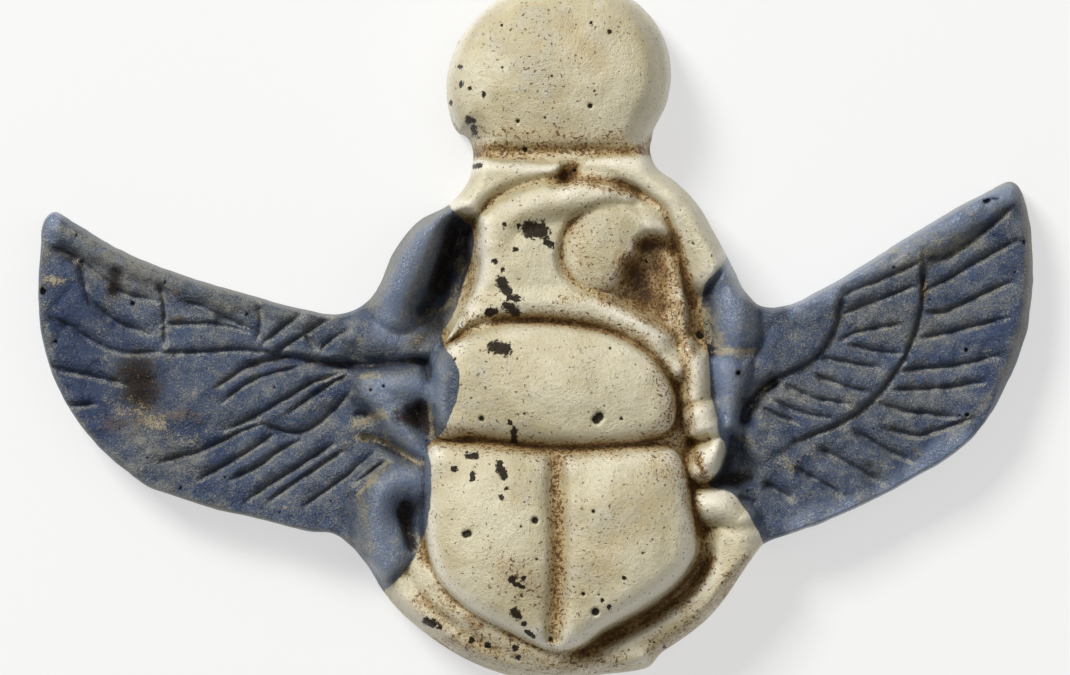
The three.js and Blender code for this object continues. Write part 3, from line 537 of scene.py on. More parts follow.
# Sun disk: a plain low dome, cut straight below where the forelegs hold it.
swelling(disk_arc(0, 2 * np.pi, 25)[1:], 3.9, 4.7, 2.4, crown=1.5)
groove([[-3.4, 8.95], [-1, 8.85], [2, 8.9], [4.5, 8.9], [6.1, 8.9]], 0.3, 0.3, 0.03)

# Marks from the casting and the ground, as strokes of the given half width, all in the photo's pixels
# of a twentieth of a millimetre: burst bubbles, and black crusts that have eaten into the glass.
bubble_pits = [
    ([(590, 107)], 3.4), ([(518, 122)], 2.8), ([(661, 64)], 3), ([(462, 124), (466, 132)], 5),
    ([(596, 419), (599, 416)], 6), ([(482, 418)], 3.6), ([(535, 519)], 4.6), ([(466, 533), (469, 532)], 4.6),
    ([(595, 610)], 5.4), ([(987, 199), (996, 195)], 6), ([(1027, 242)], 4.4), ([(894, 268)], 2.4),
    ([(42, 291)], 5), ([(132, 303)], 3.2), ([(967, 350)], 2.8), ([(968, 415)], 2.8), ([(384, 386)], 2),
    ([(738, 373)], 2.8), ([(700, 335)], 6), ([(180, 488)], 3), ([(593, 510)], 2.4), ([(583, 592)], 2.6),
]
black_crusts = [
    ([(528, 230), (541, 231)], 9), ([(547, 243), (552, 245)], 4), ([(516, 250)], 3.4), ([(495, 262)], 3.4),
    ([(503, 270)], 2.6), ([(501, 281), (508, 292)], 5), ([(509, 297), (517, 299)], 4),
    ([(507, 306), (516, 311)], 6), ([(489, 313), (496, 311)], 4.4), ([(494, 347), (506, 349)], 7),
    ([(510, 422)], 3), ([(514, 430), (514, 440)], 4), ([(505, 225)], 2.4), ([(519, 226)], 3),
    ([(512, 577)], 4), ([(524, 576)], 2.6), ([(515, 582), (523, 585)], 2.4), ([(515, 610), (519, 614)], 5),
    ([(524, 622)], 3), ([(527, 630), (534, 635)], 2.6), ([(550, 638)], 2.8), ([(602, 598)], 2.6),
    ([(609, 605)], 2.6), ([(623, 576)], 2.4), ([(427, 620), (433, 623)], 5), ([(440, 627)], 3),
    ([(472, 640)], 3.6), ([(488, 645)], 3.6), ([(515, 647)], 4), ([(518, 657)], 3.4), ([(664, 647)], 3),
    ([(468, 455), (476, 455)], 4), ([(500, 462), (504, 476)], 4.4), ([(455, 468)], 3.4),
    ([(473, 473), (473, 478)], 3.4), ([(507, 488)], 3), ([(502, 496)], 3), ([(460, 67)], 2.8),
    ([(461, 83), (461, 87)], 2.6), ([(470, 89)], 2.8), ([(484, 95)], 2.6), ([(451, 102)], 2.6),
    ([(468, 120), (473, 121)], 4), ([(474, 128), (475, 133)], 3.6), ([(479, 138)], 3), ([(525, 150)], 2.8),
    ([(457, 40)], 2.2), ([(474, 166), (480, 166)], 2.8), ([(609, 33)], 2.4), ([(591, 24)], 2),
    ([(502, 26)], 2),
]


def from_photo(pixels):
    """Photo pixels as millimetres on the amulet, and one pixel alone as a short line."""
    places = np.array(pixels, float)
    if len(places) == 1:
        places = np.repeat(places, 2, axis=0)
    return (places - ORIGIN_PX) * (1, -1) / PIXELS_PER_MM


# Points of the face: rows that follow the wall and the narrow grooves, rings for the pits and crusts,
# a close fill for the carving, and a wider one on the smooth backs of the disk, the pronotum and the
# wing cases. The outline is worn in by a few hundredths of a millimetre, and most on the wings.
CARVED_STEP = 0.113
SMOOTH_STEP = 0.17
ROW_SPACING = 0.866
FIELD_CORNER = (-26.5, -18.5)
FIELD_SIZE = (54, 40)
WALL_ROWS = (0.04, 0.09, 0.15, 0.22, 0.3, 0.4, 0.52, 0.66)
FILL_MARGIN = WALL_ROWS[-1] + 0.06
GROOVE_ROWS = (0, -0.07, 0.07, -0.15, 0.15)
GROOVE_CLEAR = 0.21
PIT_RINGS = ((0, 1), (0.5, 6), (0.8, 9), (1.1, 12))
SMOOTH_BACKS = (((1.2, 12.6), (4.8, 4.3)), ((0.9, -2.6), (5, 2.2)),
                ((-2.3, -10), (2.7, 3.6)), ((4.4, -10), (2.8, 3.6)))
BODY_MIDDLE = 1
BODY_HALF = 9
BODY_WEAR = 0.015
WING_WEAR = 0.035


def to_the_left(run):
    """The unit step to the left of each of a path's steps."""
    return np.stack([-run[:, 1], run[:, 0]], axis=1) / np.hypot(*run.T)[:, None]


def hex_fill(step):
    """Even points all over the field, each row half a step aside from the last."""
    columns, rows = np.meshgrid(*(np.arange(int(side / step)) for side in FIELD_SIZE))
    x = FIELD_CORNER[0] + (columns + 0.5 * (rows % 2)) * step
    y = FIELD_CORNER[1] + rows * step * ROW_SPACING
    return np.stack([x.ravel(), y.ravel()], axis=1)


def on_smooth_back(points):
    """Which points lie on one of the smooth ovals."""
    held = np.zeros(len(points), bool)
    for centre, half in SMOOTH_BACKS:
        held |= (((points - centre) / half) ** 2).sum(1) < 1
    return held


def kept_inside(points, margin):
    """The points that lie at least a margin inside the outline."""
    return points[depth_inside(outline, *points.T, margin + 0.2) > margin]


def clear_of_grooves(points):
    """The points that no narrow groove passes closely."""
    clear = np.ones(len(points), bool)
    for path in groove_paths:
        clear[nearest(path, *points.T, GROOVE_CLEAR)[0]] = False
    return points[clear]


edge_points = outline[:-1, :2]
edge_count = len(edge_points)
edge_inward = to_the_left(np.roll(edge_points, -1, axis=0) - np.roll(edge_points, 1, axis=0))
edge_wear = np.where(np.abs(edge_points[:, 0] - BODY_MIDDLE) > BODY_HALF, WING_WEAR, BODY_WEAR)
edge_wear *= 1 + lumps(*edge_points.T, 1.3, 21) + 0.5 * lumps(*edge_points.T, 0.4, 22)
edge_points = edge_points + edge_wear[:, None] * edge_inward
outline = np.vstack([edge_points, edge_points[:1]])
groove_paths = narrow_lines + [smooth_curve(line) for line, _, _ in feather_grooves]

rows = [kept_inside(edge_points + inset * edge_inward, 0.9 * inset) for inset in WALL_ROWS]
for path in groove_paths:
    side = to_the_left(np.gradient(path[:, :2], axis=0))
    for offset in GROOVE_ROWS:
        rows.append(kept_inside(path[:, :2] + offset * side, FILL_MARGIN))
for pixels, half_width in bubble_pits + black_crusts:
    for place in np.unique(from_photo(pixels), axis=0):
        for reach, count in PIT_RINGS:
            angle = np.arange(count) * 2 * np.pi / count
            ring = np.stack([np.cos(angle), np.sin(angle)], axis=1) * reach * half_width / PIXELS_PER_MM
            rows.append(kept_inside(place + ring, FILL_MARGIN))
carved_fill = kept_inside(hex_fill(CARVED_STEP), FILL_MARGIN)
smooth_fill = hex_fill(SMOOTH_STEP)
fill = np.vstack([carved_fill[~on_smooth_back(carved_fill)], smooth_fill[on_smooth_back(smooth_fill)]])
face_points = np.vstack([edge_points, *rows, clear_of_grooves(fill)])


def filled_outline(points):
    """Places and triangles of a net over points, of which the first are the outline."""
    net = delaunay_2d_cdt([Vector(point) for point in points], [], [list(range(edge_count))], 1, 1e-7)
    return *np.array([tuple(corner) for corner in net[0]]).T, net[2]


def carved(x, y):
    """Heights of the mould's carving: a plain wing, changed by the cuts one after the other."""
    z = WING_HEIGHT - WING_THINNING * np.maximum(0, np.abs(x) - WING_ROOT)
    for cut in cuts:
        cut(x, y, z)
    return z


# The cast: the carving, uneven by a few hundredths and more so on the wings, then a wall. That is
# upright at the foot, leans in, because the mould was cut with a draft to let the casting go, and
# rounds over into the face. It is narrow on the wings, but not at the right tip, and widest on the
# disk. The face's unevenness is given as swells of four sizes, each by its height, size and seed.
FOOT = 0.8
WING_WALL = 0.22
BODY_WALL = 0.8
DISK_WALL_MORE = 0.7
DISK_FROM = 8.8
DISK_EASE = 0.8
WING_FROM = 8.5
WING_EASE = 1.5
RIGHT_TIP_FROM = 22.3
TIP_EASE = 1.4
x, y, face_triangles = filled_outline(face_points)
level = carved(x, y)
on_wing = eased((np.abs(x - BODY_MIDDLE) - WING_FROM) / WING_EASE)
z = level + (0.05 * lumps(x, y, 1.7, 3) + 0.025 * lumps(x, y, 0.6, 9))
z += on_wing * (0.13 * lumps(x, y, 1.3, 8) + 0.09 * lumps(x, y, 0.45, 4))
wall = BODY_WALL + (WING_WALL - BODY_WALL) * on_wing * (1 - eased((x - RIGHT_TIP_FROM) / TIP_EASE))
wall += DISK_WALL_MORE * eased((y - DISK_FROM) / DISK_EASE)
z = FOOT + (z - FOOT) * rounded(depth_inside(outline, x, y, 3), wall)

# Foot and back: rings of the outline go down the wall, each wandering inwards a little, and the back
# has sunk by less than a tenth of a millimetre behind a narrow arris.
WALL_HEIGHTS = (0.62, 0.44, 0.26, 0.12)
WALL_WANDER = 0.03
BACK_ARRIS = 0.12
BACK_STEP = 0.42
BACK_SAG = 0.07
SAG_FROM = 0.3
SAG_EASE = 1.2

vertices = [np.stack([x, y, z], axis=1)]
for height in WALL_HEIGHTS:
    wander = WALL_WANDER * np.abs(lumps(edge_points[:, 0], edge_points[:, 1] + 9 * height, 0.8, 5))
    ring = edge_points + wander[:, None] * edge_inward
    vertices.append(np.column_stack([ring, np.full(edge_count, height)]))
back_fill = kept_inside(hex_fill(BACK_STEP), BACK_ARRIS + 0.25)
back_ring = edge_points + BACK_ARRIS * edge_inward
back_x, back_y, back_triangles = filled_outline(np.vstack([back_ring, back_fill]))
back_z = eased((depth_inside(outline, back_x, back_y, 2) - SAG_FROM) / SAG_EASE)
back_z *= BACK_SAG * (0.5 + 0.5 * lumps(back_x, back_y, 2.2, 6))
vertices.append(np.stack([back_x, back_y, back_z], axis=1))

triangles = [list(corners) for corners in face_triangles]
upper = np.arange(edge_count)
for first in np.cumsum([len(part) for part in vertices[:-1]]).tolist():
    lower = first + np.arange(edge_count)
    next_upper, next_lower = np.roll(upper, -1), np.roll(lower, -1)
    triangles += np.stack([upper, lower, next_lower], axis=1).tolist()
    triangles += np.stack([upper, next_lower, next_upper], axis=1).tolist()
    upper = lower
triangles += [[first + a, first + c, first + b] for a, b, c in back_triangles]

casting_mesh = bpy.data.meshes.new("winged_scarab_relief")
casting_mesh.from_pydata((np.vstack(vertices) * MM).tolist(), [], triangles)
casting = bpy.data.objects.new("winged_scarab_relief", casting_mesh)
bpy.context.scene.collection.objects.link(casting)


# Where the two colours meet: the blue was laid in first, on both sides, and the cream poured between.
# Each vertex carries how far it lies inside the blue, so that the meeting line stays sharp.
left_meeting_line = [
    [-7.6, -13.2], [-6.8, -12.4], [-6.1, -11.5], [-5.9, -11], [-5.5, -10.1], [-5.3, -9.1], [-5.2, -7.6],
    [-5.25, -6.6], [-5.4, -5.9], [-4.6, -5.1], [-4.2, -4.2], [-3.9, -3.4], [-3.8, -2.2], [-4.1, -1.5],
    [-4.5, -1], [-4.7, -0.3], [-4.3, 0.4], [-3.95, 1.1], [-3.75, 1.8], [-3.5, 2.6], [-3.25, 3.4],
    [-3.1, 4.3], [-3.2, 5], [-3.7, 5.5], [-4.05, 5.8], [-4.4, 6.3],
]
right_meeting_line = [
    [9.6, 3.7], [9.3, 3.2], [8.45, 2.2], [8.3, 1.5], [8.4, 0], [8.6, -1.5], [8.65, -2.3], [8.75, -3.3],
    [8.85, -3.8], [9.05, -4.6], [9.1, -5.2], [9.5, -6], [9.2, -7], [8.6, -7.8], [9.5, -8.1], [9.95, -8.4],
    [10.5, -9.1], [10.8, -9.6], [11.3, -10.6],
]
left_field = smooth_curve([[-9, -16], *left_meeting_line, [-5.5, 9], [-30, 9], [-30, -16]], closed=True)
right_field = smooth_curve([[11, 7.5], *right_meeting_line, [12.5, -14], [30, -14], [30, 12]], closed=True)
all_x, all_y = np.vstack(vertices)[:, :2].T


def note(mesh, name, values):
    """Keeps one number for each point of a mesh, under a name."""
    mesh.attributes.new(name, "FLOAT", "POINT").data.foreach_set("value", values)


fields = [depth_inside(field, all_x, all_y, 2) for field in (left_field, right_field)]
note(casting_mesh, "blue_depth", np.maximum(*fields))

# Where dirt gathers, and where shade and highlights are painted: how far the face lies under its
# surroundings, in millimetres, close by and farther out. The same cuts are laid on an even grid, blurred,
# and read again at each vertex.
GRID_STEP = 0.1
GRID_HALF = (27, 20)
SURROUNDINGS = (("crease", 0.3), ("shelter", 0.9))
grid_x, grid_y = (np.arange(-half, half, GRID_STEP) for half in GRID_HALF)
sheet = carved(*(places.ravel() for places in np.meshgrid(grid_x, grid_y)))
sheet = sheet.reshape(len(grid_y), len(grid_x))
frequency = np.fft.rfftfreq(len(grid_x), GRID_STEP) ** 2
frequency = np.fft.fftfreq(len(grid_y), GRID_STEP)[:, None] ** 2 + frequency
u, v = (x - grid_x[0]) / GRID_STEP, (y - grid_y[0]) / GRID_STEP
i, j = u.astype(int), v.astype(int)
for name, radius in SURROUNDINGS:
    softened = np.fft.rfft2(sheet) * np.exp(-2 * (np.pi * radius) ** 2 * frequency)
    blurred = np.fft.irfft2(softened, sheet.shape)
    near_row = blurred[j, i] * (1 - u + i) + blurred[j, i + 1] * (u - i)
    far_row = blurred[j + 1, i] * (1 - u + i) + blurred[j + 1, i + 1] * (u - i)
    below = np.zeros(len(all_x))
    below[:len(x)] = near_row * (1 - v + j) + far_row * (v - j) - level
    note(casting_mesh, name, below)


# Traces of wear and burial, and painted shade in the pit beside the left foreleg, noted on the casting in
# the same pixels: each stroke has its line, its half width and its strength. The material turns them
# into crusts, stains, films and that painted shade.
def mark(name, strokes):
    """Keeps a mark's strength at each point: full on a stroke's line, and none at its half width."""
    field = np.zeros(len(all_x))
    for pixels, half_width, strength in strokes:
        reach = half_width / PIXELS_PER_MM
        near, distance, _, _ = nearest(from_photo(pixels), all_x, all_y, reach)
        field[near] = np.maximum(field[near], strength * (1 - distance / reach))
    note(casting_mesh, name, field)


mark("black_crust", [(pixels, 1.7 * half_width, 1) for pixels, half_width in black_crusts])
mark("brown_stain", [
    ([(650, 455), (688, 478), (694, 525)], 26, 0.3),
    ([(655, 352), (674, 388), (668, 425), (640, 438)], 22, 0.35), ([(438, 428), (470, 436)], 14, 0.4),
    ([(575, 230), (596, 292), (640, 262)], 24, 0.25), ([(424, 460), (422, 560)], 9, 0.25),
    ([(500, 560), (560, 610)], 30, 0.22), ([(460, 330), (470, 300), (500, 300)], 14, 0.2),
    ([(480, 130), (620, 138)], 14, 0.3), ([(556, 182), (580, 180), (630, 192)], 12, 0.7),
    ([(562, 176), (570, 168)], 12, 1), ([(672, 256), (686, 335)], 16, 0.55),
    ([(640, 262), (680, 320)], 28, 0.6), ([(645, 300), (690, 325)], 24, 0.4),
    ([(420, 404), (430, 428)], 10, 0.9), ([(404, 505), (410, 540)], 8, 0.8),
    ([(640, 246), (670, 248)], 15, 1.3), ([(632, 268), (646, 298)], 26, 1.4),
    ([(658, 258), (662, 308)], 20, 1.1), ([(675, 235), (692, 305)], 9, 0.9),
    ([(470, 148), (655, 150)], 11, 0.55), ([(400, 416), (425, 420)], 14, 0.9),
    ([(402, 512), (412, 545)], 9, 0.9), ([(470, 235), (462, 285), (440, 322)], 10, 0.5),
    ([(700, 600), (640, 622), (585, 652)], 11, 0.35), ([(712, 560), (698, 590), (672, 608)], 9, 0.6),
    ([(690, 440), (705, 480), (750, 478)], 9, 0.7), ([(700, 320), (712, 350)], 12, 0.6),
    ([(137, 375), (140, 392)], 34, 1), ([(925, 280), (925, 300)], 7, 0.8), ([(870, 465)], 8, 0.6),
    ([(115, 272), (112, 290)], 12, 0.9), ([(60, 250), (75, 262)], 14, 0.6), ([(738, 373)], 8, 0.7),
    ([(400, 650), (470, 640), (560, 665)], 20, 0.35),
    ([(436, 440), (500, 446), (560, 451), (620, 448), (672, 438)], 18, 0.35),
    ([(556, 455), (557, 560), (554, 640)], 13, 0.5), ([(450, 640), (480, 625), (440, 600)], 9, 0.5),
    ([(448, 340), (476, 322), (500, 314), (564, 317), (605, 324), (637, 336), (660, 355), (680, 392)],
     14, 0.45),
    # The stroke in the pit beside the left foreleg is painted shade, not a stain.
    ([(600, 296), (640, 312), (672, 332), (690, 352)], 12, 0.6), ([(452, 232), (438, 285)], 14, 1),
    ([(425, 600), (470, 640), (540, 662), (620, 662)], 22, 0.4),
    ([(655, 650), (720, 600), (745, 560)], 20, 0.4), ([(640, 275), (648, 300)], 22, 1),
    ([(450, 130), (470, 148)], 14, 0.5), ([(560, 300), (610, 292)], 10, 0.3),
    ([(473, 236), (466, 300)], 12, 0.45), ([(430, 330), (415, 345)], 12, 0.5),
    ([(684, 360), (690, 430)], 8, 0.5),
])
mark("ochre_stain", [
    ([(175, 292)], 9, 1), ([(178, 320)], 9, 1), ([(45, 280), (58, 281)], 8, 1),
    ([(110, 425), (190, 415)], 22, 0.8), ([(925, 290)], 8, 1), ([(915, 450)], 7, 0.9),
    ([(538, 46)], 7, 0.8), ([(609, 33)], 7, 0.6), ([(570, 30), (600, 70)], 30, 0.4),
    ([(655, 230), (672, 290)], 14, 0.5), ([(600, 560), (640, 500)], 30, 0.3),
    ([(700, 380), (700, 410)], 12, 0.3), ([(770, 360)], 8, 0.4), ([(460, 300), (440, 330)], 14, 0.4),
])
mark("grey_film", [
    ([(885, 265), (975, 238)], 24, 0.6), ([(900, 330), (1000, 300)], 20, 0.4),
    ([(850, 400), (960, 395)], 16, 0.4),
    ([(46, 225), (40, 300), (55, 375), (85, 430), (150, 485), (240, 515), (330, 538)], 5, 0.7),
    ([(60, 228), (120, 252), (220, 288), (335, 316)], 8, 0.8), ([(105, 262), (150, 280)], 34, 0.9),
    ([(200, 300), (290, 316)], 14, 0.6), ([(372, 306), (392, 262), (418, 224), (450, 203)], 9, 0.9),
    ([(474, 245), (468, 300)], 9, 0.9), ([(436, 326), (462, 310)], 17, 0.9),
    ([(405, 352), (440, 350)], 14, 0.5), ([(1030, 190), (1034, 240), (1031, 300)], 10, 1.2),
    ([(1030, 300), (1012, 362), (985, 405), (940, 450)], 6, 0.8),
    ([(800, 290), (900, 238), (985, 190), (1015, 178)], 5, 0.8), ([(745, 270), (757, 300)], 12, 0.7),
    ([(120, 430), (190, 470)], 26, 0.5), ([(770, 400), (830, 380)], 20, 0.5),
    ([(360, 500), (372, 545)], 8, 0.8), ([(330, 540), (372, 545)], 10, 0.6),
    ([(850, 300), (915, 330)], 30, 0.35), ([(640, 440), (720, 400)], 10, 0.2),
])
mark("smooth_glass", [
    ([(470, 217), (430, 243), (408, 280), (392, 325)], 26, 1), ([(375, 390), (415, 388)], 20, 1),
    ([(392, 410), (420, 460)], 16, 1), ([(415, 478), (388, 490), (383, 560)], 22, 1),
    ([(728, 262), (728, 345)], 20, 1), ([(722, 365), (728, 440)], 18, 1), ([(434, 365), (434, 410)], 16, 1),
    ([(800, 308), (900, 252), (1005, 192)], 18, 0.9), ([(800, 525), (880, 503), (960, 440)], 20, 0.8),
    ([(52, 212), (50, 235)], 12, 0.9), ([(415, 500), (425, 540)], 12, 0.8),
    ([(395, 360), (440, 350)], 12, 0.5),
])
mark("tan_crust", [
    ([(885, 262), (975, 240)], 16, 0.35), ([(700, 352), (712, 318)], 8, 0.4),
    ([(362, 376), (380, 376)], 6, 0.9), ([(356, 422), (384, 414)], 9, 0.9),
    ([(355, 437), (385, 440), (402, 452), (420, 462)], 6, 1), ([(358, 495), (375, 475), (390, 462)], 6, 1),
    ([(418, 535), (418, 555)], 6, 0.8), ([(700, 312), (716, 345)], 17, 0.8),
    ([(715, 352), (750, 351)], 9, 0.9), ([(430, 405), (432, 440)], 5, 0.9), ([(360, 337)], 8, 0.7),
    ([(120, 405), (190, 440)], 20, 0.45), ([(45, 278), (62, 282)], 6, 1),
    ([(745, 440), (800, 470)], 14, 0.4), ([(280, 420), (420, 330)], 16, 0.25),
    ([(463, 240), (455, 300), (420, 320)], 9, 0.6), ([(284, 508)], 4, 1), ([(377, 327)], 4, 1),
])
mark("clean_glass", [
    ([(62, 300), (72, 360), (98, 425)], 38, 1), ([(100, 300), (125, 340)], 22, 0.6),
    ([(200, 430), (215, 450)], 26, 0.6), ([(1005, 320), (985, 385)], 18, 0.8),
    ([(900, 470), (960, 430)], 16, 0.7), ([(860, 240), (960, 200)], 8, 0.4),
    ([(190, 480), (240, 500)], 18, 0.6), ([(300, 400), (340, 380)], 18, 0.5),
    ([(990, 220), (1010, 280)], 14, 0.6),
])
mark("hair_crack", [
    ([(578, 345), (583, 360), (588, 385), (597, 410)], 3, 0.8),
    ([(470, 350), (466, 368), (470, 385)], 3, 0.5),
    ([(580, 497), (585, 520), (590, 540), (596, 560), (600, 590)], 3, 0.7),
])

# The material is put on the mesh here, and its nodes are made further down.
cast_glass = bpy.data.materials.new("opaque_cast_glass_cream_and_slate_blue")
cast_glass.use_nodes = True
casting_mesh.materials.append(cast_glass)


def add(tree, kind, inputs=None, **settings):
    """Adds a node. An input, by name or number, takes a value, a socket, or a node's first output."""
    node = tree.nodes.new(kind)
    for name, value in settings.items():
        setattr(node, name, value)
    for key, value in (inputs or {}).items():
        if isinstance(value, bpy.types.Node):
            value = next(output for output in value.outputs if output.enabled)
        if isinstance(value, bpy.types.NodeSocket):
            tree.links.new(value, node.inputs[key])
        else:
            node.inputs[key].default_value = value
    return node


MATH = "ShaderNodeMath"
VECTOR_MATH = "ShaderNodeVectorMath"
RANGE = "ShaderNodeMapRange"


def fold(tree, operation, first, *others):
    """Joins values by one operation, one after the other."""
    for other in others:
        first = add(tree, MATH, {0: first, 1: other}, operation=operation)
    return first


def start_tree(name, inputs):
    """A tree that takes the casting and further inputs by name and kind, and its input sockets."""
    tree = bpy.data.node_groups.new(name, "GeometryNodeTree")
    for title, kind in (("Casting", "Geometry"), *inputs, ("Glass", "Material")):
        tree.interface.new_socket(title, in_out="INPUT", socket_type="NodeSocket" + kind)
    tree.interface.new_socket("Casting", in_out="OUTPUT", socket_type="NodeSocketGeometry")
    return tree, add(tree, "NodeGroupInput").outputs


def note_at(tree, source, index, name):
    """What is noted under a name at one point of the source."""
    value = add(tree, "GeometryNodeInputNamedAttribute", {"Name": name}, data_type="FLOAT")
    return add(tree, "GeometryNodeSampleIndex", {0: source, "Value": value, "Index": index})


def sunk(tree, geometry, depth):
    """The geometry with its points let down by a depth."""
    down = add(tree, VECTOR_MATH, {0: (0, 0, -1), 3: depth}, operation="SCALE")
    return add(tree, "GeometryNodeSetPosition", {0: geometry, "Offset": down})


def run_tree(tree, given, result, **values):
    """Ends a tree, puts it on the casting, and sets its inputs by identifier."""
    real = add(tree, "GeometryNodeRealizeInstances", {0: result})
    done = add(tree, "GeometryNodeSetMaterial", {0: real, "Material": given["Glass"]})
    add(tree, "NodeGroupOutput", {0: done})
    modifier = casting.modifiers.new(tree.name, "NODES")
    modifier.node_group = tree
    for item in tree.interface.items_tree:
        key = item.name.lower().replace(" ", "_")
        if item.in_out == "INPUT" and key in values:
            modifier[item.identifier] = values[key]


# Feather grooves: cut into the mould with a narrow graver, so each is one even furrow between two
# rounded shoulders, and shallower at both ends. The tree cuts them along the lines above, and keeps
# off the wall.
FURROW_STEP = 0.06
END_STRENGTH = 0.35
END_SHARE = 0.15
WAVER_SIZE = 0.7
WALL_TOP = 1.2
FACE_FOOT = 2.2

groove_rows = [smooth_curve(line, step=FURROW_STEP)[:, :2] for line, _, _ in feather_grooves]
groove_strength = []
groove_width = []
groove_edges = []
for path, (_, strength, width) in zip(groove_rows, feather_grooves):
    first = len(groove_strength)
    share = np.linspace(0, 1, len(path))
    from_end = eased(np.minimum(share, 1 - share) / END_SHARE)
    groove_strength += list(strength * (END_STRENGTH + (1 - END_STRENGTH) * from_end))
    groove_width += [width * MM] * len(path)
    groove_edges += [(first + i, first + i + 1) for i in range(len(path) - 1)]
groove_mesh = bpy.data.meshes.new("feather_groove_lines")
groove_mesh.from_pydata([(px * MM, py * MM, 0) for px, py in np.vstack(groove_rows)], groove_edges, [])
note(groove_mesh, "strength", groove_strength)
note(groove_mesh, "width", groove_width)
groove_lines = bpy.data.objects.new("feather_groove_lines", groove_mesh)

graver, given = start_tree("feather_graver", (
    ("Lines", "Object"), ("Furrow Width", "Float"), ("Furrow Depth", "Float"),
    ("Shoulder Depth", "Float"), ("Waver", "Float"),
))
place = add(graver, "GeometryNodeInputPosition")
lines = add(graver, "GeometryNodeObjectInfo", {"Object": given["Lines"]}).outputs["Geometry"]
waver = add(graver, "ShaderNodeTexNoise", {"Vector": place, "Scale": 1 / (WAVER_SIZE * MM), "Detail": 3})
shake = add(graver, VECTOR_MATH, {0: waver.outputs["Color"], 1: (0.5, 0.5, 0.5)}, operation="SUBTRACT")
shake = add(graver, VECTOR_MATH, {0: shake, 3: given["Waver"]}, operation="SCALE")
plan = add(graver, VECTOR_MATH, {0: place, 1: shake}, operation="ADD")
plan = add(graver, VECTOR_MATH, {0: plan, 1: (1, 1, 0)}, operation="MULTIPLY")
gap = add(graver, "GeometryNodeProximity", {0: lines, "Sample Position": plan}, target_element="EDGES")
index = add(graver, "GeometryNodeSampleNearest", {0: lines, "Sample Position": plan}, domain="POINT")
profiles = []
for width in (given["Furrow Width"], note_at(graver, lines, index, "width")):
    steps_off = fold(graver, "DIVIDE", gap.outputs["Distance"], width)
    fall = fold(graver, "MULTIPLY", fold(graver, "POWER", steps_off, 2), -1)
    profiles.append(add(graver, MATH, {0: fall}, operation="EXPONENT"))
furrow, shoulder = profiles
furrow_cut = fold(graver, "MULTIPLY", furrow, given["Furrow Depth"])
shoulder_cut = fold(graver, "MULTIPLY", shoulder, given["Shoulder Depth"])
height = add(graver, "ShaderNodeSeparateXYZ", {0: place}).outputs["Z"]
on_face = add(graver, RANGE, {0: height, 1: WALL_TOP * MM, 2: FACE_FOOT * MM})
worn = add(graver, RANGE, {0: waver, 1: 0.3, 2: 0.7, 3: 0.85, 4: 1.15})
strength = note_at(graver, lines, index, "strength")
cut_depth = fold(graver, "ADD", furrow_cut, shoulder_cut)
cut_depth = fold(graver, "MULTIPLY", cut_depth, strength, worn, on_face)
flank = fold(graver, "MULTIPLY", shoulder, on_face)
marked = add(graver, "GeometryNodeStoreNamedAttribute", {0: given["Casting"], "Name": "flank", 3: flank})
run_tree(graver, given, sunk(graver, marked, cut_depth), lines=groove_lines, furrow_width=0.12 * MM,
         furrow_depth=0.2 * MM, shoulder_depth=0.3 * MM, waver=0.06 * MM, glass=cast_glass)

# Burst bubbles: gas rose through the glass and left round pits, most of them an eighth of a millimetre
# wide. The larger ones lie where they can be seen on the real casting. The tree also notes how far
# each place faces the upper left, where the main light is, for the painted light and shade on the blue.
LEVEL_ENOUGH = 0.85
TOO_STEEP = 0.55
LEVEL_OPEN = 0.8
PIT_RIM = 1.05
PIT_FLOOR = 0.5
UPPER_LEFT = (-0.7, 0.7, 0)

pit_rows = [(*place, half_width / PIXELS_PER_MM) for pixels, half_width in bubble_pits
            for place in np.unique(from_photo(pixels), axis=0)]
pit_mesh = bpy.data.meshes.new("large_pits")
pit_mesh.from_pydata([(px * MM, py * MM, 0) for px, py, _ in pit_rows], [], [])
note(pit_mesh, "size", [size * MM for _, _, size in pit_rows])
pit_object = bpy.data.objects.new("large_pits", pit_mesh)

bubbles, given = start_tree("burst_bubbles", (
    ("Large Pits", "Object"), ("Density", "Float"), ("Smallest", "Float"), ("Largest", "Float"),
    ("Depth Ratio", "Float"), ("Seed", "Int"),
))
place = add(bubbles, "GeometryNodeInputPosition")
plan = add(bubbles, VECTOR_MATH, {0: place, 1: (1, 1, 0)}, operation="MULTIPLY")
normal = add(bubbles, "GeometryNodeInputNormal")
upright = add(bubbles, "ShaderNodeSeparateXYZ", {0: normal}).outputs["Z"]
strewn = add(bubbles, "GeometryNodeDistributePointsOnFaces", {
    0: given["Casting"], "Selection": fold(bubbles, "GREATER_THAN", upright, LEVEL_ENOUGH),
    "Density": given["Density"], "Seed": given["Seed"]})
flat = add(bubbles, "GeometryNodeSetPosition", {0: strewn, "Position": plan})
draw = add(bubbles, "FunctionNodeRandomValue", {2: 0, 3: 1, "Seed": given["Seed"]}).outputs[1]
draw = fold(bubbles, "POWER", draw, 3)
size = add(bubbles, RANGE, {0: draw, 3: given["Smallest"], 4: given["Largest"]})
small = add(bubbles, "GeometryNodeStoreNamedAttribute", {0: flat, "Name": "size", 3: size})
large = add(bubbles, "GeometryNodeObjectInfo", {"Object": given["Large Pits"]}).outputs["Geometry"]
large = add(bubbles, "GeometryNodeMeshToPoints", {0: large})
pits = add(bubbles, "GeometryNodeJoinGeometry", {0: small})
bubbles.links.new(large.outputs[0], pits.inputs[0])
gap = add(bubbles, "GeometryNodeProximity", {0: pits, "Sample Position": plan}, target_element="POINTS")
index = add(bubbles, "GeometryNodeSampleNearest", {0: pits, "Sample Position": plan}, domain="POINT")
size = note_at(bubbles, pits, index, "size")
share = fold(bubbles, "DIVIDE", gap.outputs["Distance"], size)
